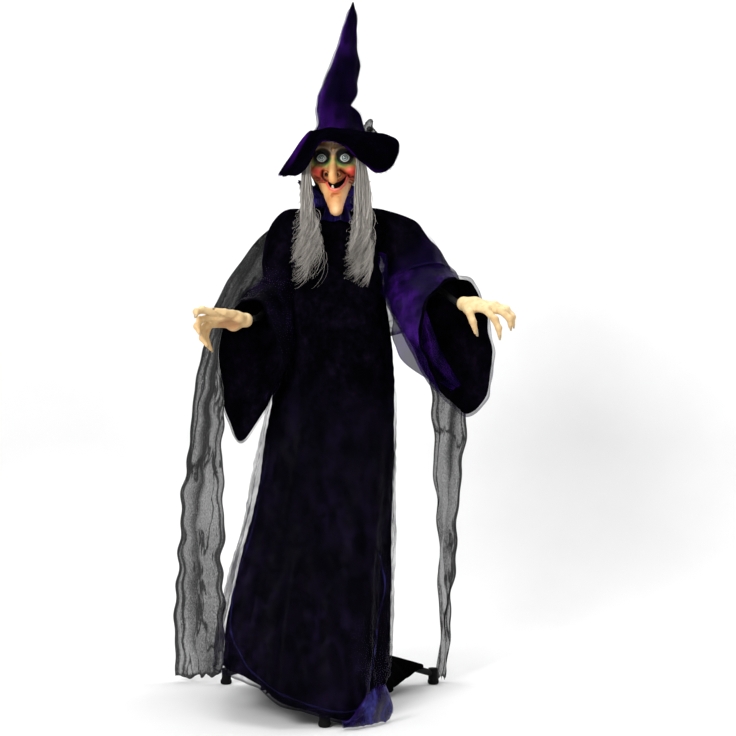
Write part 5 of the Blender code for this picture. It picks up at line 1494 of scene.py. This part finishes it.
def hair_material():
    look = Look("grey_hair", Roughness=0.42, Sheen_Weight=0.25, Sheen_Roughness=0.4, Specular_IOR_Level=0.45)
    tone = look.attribute("tone")
    fine = look.noise(700, 2, stretch=(1, 1, 0.08))
    colour = look.ramp(
        tone, (0.0, (0.075, 0.066, 0.058)), (0.45, (0.30, 0.275, 0.245)), (1.0, (0.60, 0.56, 0.51))
    )
    look.join("Base Color", look.mix(0.35, colour, look.ramp(fine, (0.3, 0.45), (0.7, 1.0)), "MULTIPLY"))
    return look.bump((fine, 0.3, 0.0003)).material


def strands(name, node, guides, count, seed, hair, curl, under):
    """Many thin tapered strands: straight and in clumps at the top, then curling to uneven ends.

    No strand rises above the brim, which under holds.
    """
    rng = np.random.default_rng(seed)
    steps, sides = 60, 4
    t = np.linspace(0, 1, steps)
    path = curve_at([(i / (len(guides) - 1), *g) for i, g in enumerate(guides)], t)
    many = max(10, count // 24)
    clumps = np.stack(
        [
            rng.uniform(-1, 1, many), rng.uniform(-1, 1, many), rng.uniform(0, 6.28, many),
            rng.uniform(1.2, 2.8, many), rng.uniform(0.80, 1.0, many)
        ], 1
    )
    verts, faces, tones = [], [], []
    ring = np.array([(math.cos(a), math.sin(a)) for a in np.arange(sides) * 2 * math.pi / sides])
    for n in range(count):
        side, depth, phase, turns, reach = clumps[rng.integers(many)]
        loose = rng.random() > 0.90
        offset = rng.uniform(-1, 1, 2)
        tight = (0.2 if loose else 0.66 + 0.30 * rng.random()) * smoothstep(0.0, 0.8, t)
        across = offset[0] * (1 - tight) + side * tight
        inward = offset[1] * (1 - tight) + depth * tight
        length = reach * rng.uniform(0.86, 1.0) if not loose else rng.uniform(0.6, 1.0)
        at = np.clip(t * length, 0, 1)
        middle_x, middle_y, middle_z, wide, deep = (np.interp(at, t, path[:, k]) for k in range(5))
        grow = curl * smoothstep(0.52, 0.95, t) ** 1.3 * (1.2 if loose else rng.uniform(0.85, 1.05))
        swing = (
            turns * TURN * t * (0.8 + 0.9 * t) + phase + 0.12 * rng.normal()
            + (rng.uniform(0, TURN) if loose else 0)
        )
        gentle = 0.0018 * np.sin(9 * t + phase * 2)
        x = middle_x + across * wide + grow * np.sin(swing) + gentle
        y = middle_y + inward * deep + 0.6 * grow * np.cos(swing)
        z = middle_z + 0.004 * rng.normal() * (1 - t) + 0.9 * grow * np.sin(swing + 1.1)
        line = np.stack([x, np.maximum(y, -0.160), z], -1)
        for point in line[:24]:
            hit = under.ray_cast(Vector((point[0], point[1], BELOW_BRIM)), Vector((0, 0, 1)))[0]
            if hit and point[2] > hit.z - BRIM_GAP:
                point[2] = hit.z - BRIM_GAP
        radius = (0.00062 + 0.00035 * rng.random()) * (1 - 0.75 * t ** 3)
        tube = (
            line[:, None, :]
            + radius[:, None, None] * np.concatenate([ring, np.zeros((sides, 1))], 1)[None]
        )
        faces.append(grid_faces(steps, sides, True) + len(verts) * steps * sides)
        verts.append(tube.reshape(-1, 3))
        tones.append(
            np.full(steps * sides, np.clip(0.50 + 0.26 * math.sin(phase * 3) + 0.16 * rng.normal(), 0, 1))
        )
    piece = make_mesh(
        name, np.concatenate(verts), np.concatenate(faces), hair, {"tone": np.concatenate(tones)}
    )
    if node:
        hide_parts(node)
    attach(piece, "head")


def make_hair(brim):
    hair = hair_material()
    under = BVHTree.FromPolygons(
        [v.co for v in brim.data.vertices], [p.vertices[:] for p in brim.data.polygons]
    )
    left = (
        (-0.050, -0.052, 1.440, 0.007, 0.018), (-0.053, -0.088, 1.390, 0.009, 0.013),
        (-0.052, -0.118, 1.315, 0.015, 0.013), (-0.050, -0.132, 1.230, 0.019, 0.013),
        (-0.048, -0.139, 1.150, 0.028, 0.013), (-0.043, -0.140, 1.074, 0.040, 0.011),
    )
    right = (
        (0.081, -0.052, 1.440, 0.007, 0.018), (0.086, -0.088, 1.390, 0.011, 0.013),
        (0.092, -0.118, 1.315, 0.021, 0.014), (0.090, -0.132, 1.230, 0.024, 0.014),
        (0.083, -0.139, 1.150, 0.024, 0.013), (0.080, -0.140, 1.076, 0.024, 0.011),
    )
    strands("lock_left", "hair_left", left, 540, 71, hair, 0.019, under)
    strands("lock_right", "hair_right", right, 540, 72, hair, 0.016, under)
    for side, x in ((-1, -0.055), (1, 0.087)):
        name = "left" if side < 0 else "right"
        guide = (
            (x, 0.000, 1.455, 0.006, 0.050), (x + side * 0.003, 0.006, 1.400, 0.009, 0.056),
            (x + side * 0.006, 0.016, 1.340, 0.010, 0.054), (x + side * 0.010, 0.026, 1.285, 0.010, 0.044),
        )
        strands(f"side_hair_{name}", None, guide, 260, 75 + side, hair, 0.003, under)
    guide = (
        (0.0145, 0.094, 1.455, 0.056, 0.006), (0.0145, 0.102, 1.400, 0.062, 0.007),
        (0.0145, 0.110, 1.340, 0.066, 0.008), (0.0145, 0.117, 1.278, 0.058, 0.008)
    )
    strands("back_hair", "hair_back", guide, 420, 77, hair, 0.003, under)


def make_collar():
    """A gathered satin ruff: a band round the neck, flared behind, over an open lower tier."""
    v, turn = rings(80, 460)
    from_front = np.abs((np.degrees(turn) + 270) % 360 - 180)
    behind = smoothstep(24, 62, from_front)
    band, flare = np.clip(v / 0.5, 0, 1), np.clip(v / 0.5 - 1, 0, 1)
    frill = (
        (0.0010 + 0.0046 * behind * flare) * pleat(30 * turn + 2 * np.sin(5 * turn))
        + 0.004 * np.sin(11 * turn + 3 * v) * behind * flare
    )
    radius = 0.0475 + 0.004 * behind + 0.034 * behind * flare ** 0.7 + frill
    x = 0.014 + radius * np.cos(turn) * 1.05
    y = 0.004 + 0.98 * radius * np.sin(turn)
    z = 1.262 + 0.048 * band + 0.046 * behind * flare + 0.003 * np.sin(19 * turn) * behind * flare
    solid = {"edge": np.ones_like(v), "veil": np.ones_like(v)}
    ruff = grid_mesh("ruff", np.stack([x, y, z], -1), SATIN, wrap=True, attributes=solid)
    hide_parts("collar")
    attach(ruff, "torso")
    # Its lower tier falls over the collar bones.
    front = smoothstep(75, 25, from_front)
    spread = (
        0.049 + (0.058 - 0.026 * front) * v
        + 0.0045 * pleat(21 * turn + 1.5 * np.sin(4 * turn) + 2 * v) * (0.2 + v)
    )
    x = 0.012 + spread * np.cos(turn) * 1.06
    y = 0.002 + spread * np.sin(turn)
    z = 1.300 - 0.010 * front - (0.050 - 0.006 * front) * v ** 1.3 + 0.002 * np.sin(13 * turn) * v
    tier = grid_mesh("ruff_lower", np.stack([x, y, z], -1), SATIN, wrap=True, attributes=solid)
    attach(tier, "torso")


# ---------------------------------------------------------------- stage

FLOOR_Z = -0.0005
AMBIENT = 0.36
CAMERA_AT = (0.105, -3.95, 0.866)
# Both in millimetres: the picture is 0.49 of the camera's distance across.
SENSOR, LENS = 36, 73.369565


def make_stage():
    paint = Look("backdrop", Roughness=0.9)
    paint.join(
        "Base Color", paint.ramp(paint.noise(3, 3), (0.3, (0.80, 0.80, 0.80)), (0.7, (0.83, 0.83, 0.83)))
    )
    width, back, bend, top = 6.0, 0.9, 0.6, 4.5
    profile = [(-5.0, FLOOR_Z), (back, FLOOR_Z)]
    for i in range(1, 13):
        a = math.pi / 2 * i / 12
        profile.append((back + bend * math.sin(a), bend - bend * math.cos(a)))
    profile.append((back + bend, top))
    points = np.array([[(x, y, z) for x in (-width, width)] for y, z in profile])
    floor = grid_mesh("studio_floor", points, paint.material)

    def lamp(name, kind, energy, size, at, target=(0, 0, 0.9)):
        data = bpy.data.lights.new(name, kind)
        data.energy = energy
        if kind == "AREA":
            data.size = size
        obj = bpy.data.objects.new(name, data)
        bpy.context.scene.collection.objects.link(obj)
        obj.location = at
        obj.rotation_mode = "QUATERNION"
        obj.rotation_quaternion = (Vector(target) - Vector(at)).to_track_quat("-Z", "Y")

    lamp("key", "AREA", 130, 1.2, (-1.9, -3.2, 2.7))
    lamp("fill", "AREA", 35, 2.5, (2.6, -3.0, 1.6))
    lamp("top", "AREA", 55, 2.2, (0, 0.2, 3.6))
    lamp("rim", "AREA", 30, 1.2, (2.0, 1.2, 2.2), (0, 0, 1.1))
    world = bpy.data.worlds.new("studio")
    world.use_nodes = True
    world.node_tree.nodes["Background"].inputs[0].default_value = (1, 1, 1, 1)
    world.node_tree.nodes["Background"].inputs[1].default_value = AMBIENT
    bpy.context.scene.world = world
    bpy.context.scene.view_settings.view_transform = "Standard"

    data = bpy.data.cameras.new("camera")
    data.sensor_width = SENSOR
    data.lens = LENS
    camera = bpy.data.objects.new("camera", data)
    bpy.context.scene.collection.objects.link(camera)
    camera.location = CAMERA_AT
    camera.rotation_euler = (math.pi / 2, 0, 0)
    bpy.context.scene.camera = camera


finish_frame()
make_robe()
make_puddle()
make_underskirt()
make_sleeves()
make_sleeve_wing()
make_cape()
make_face()
make_eyes()
for arm in ARMS:
    make_hand(arm)
hat_brim = make_hat()
make_bow()
make_hair(hat_brim)
make_collar()
make_stage()
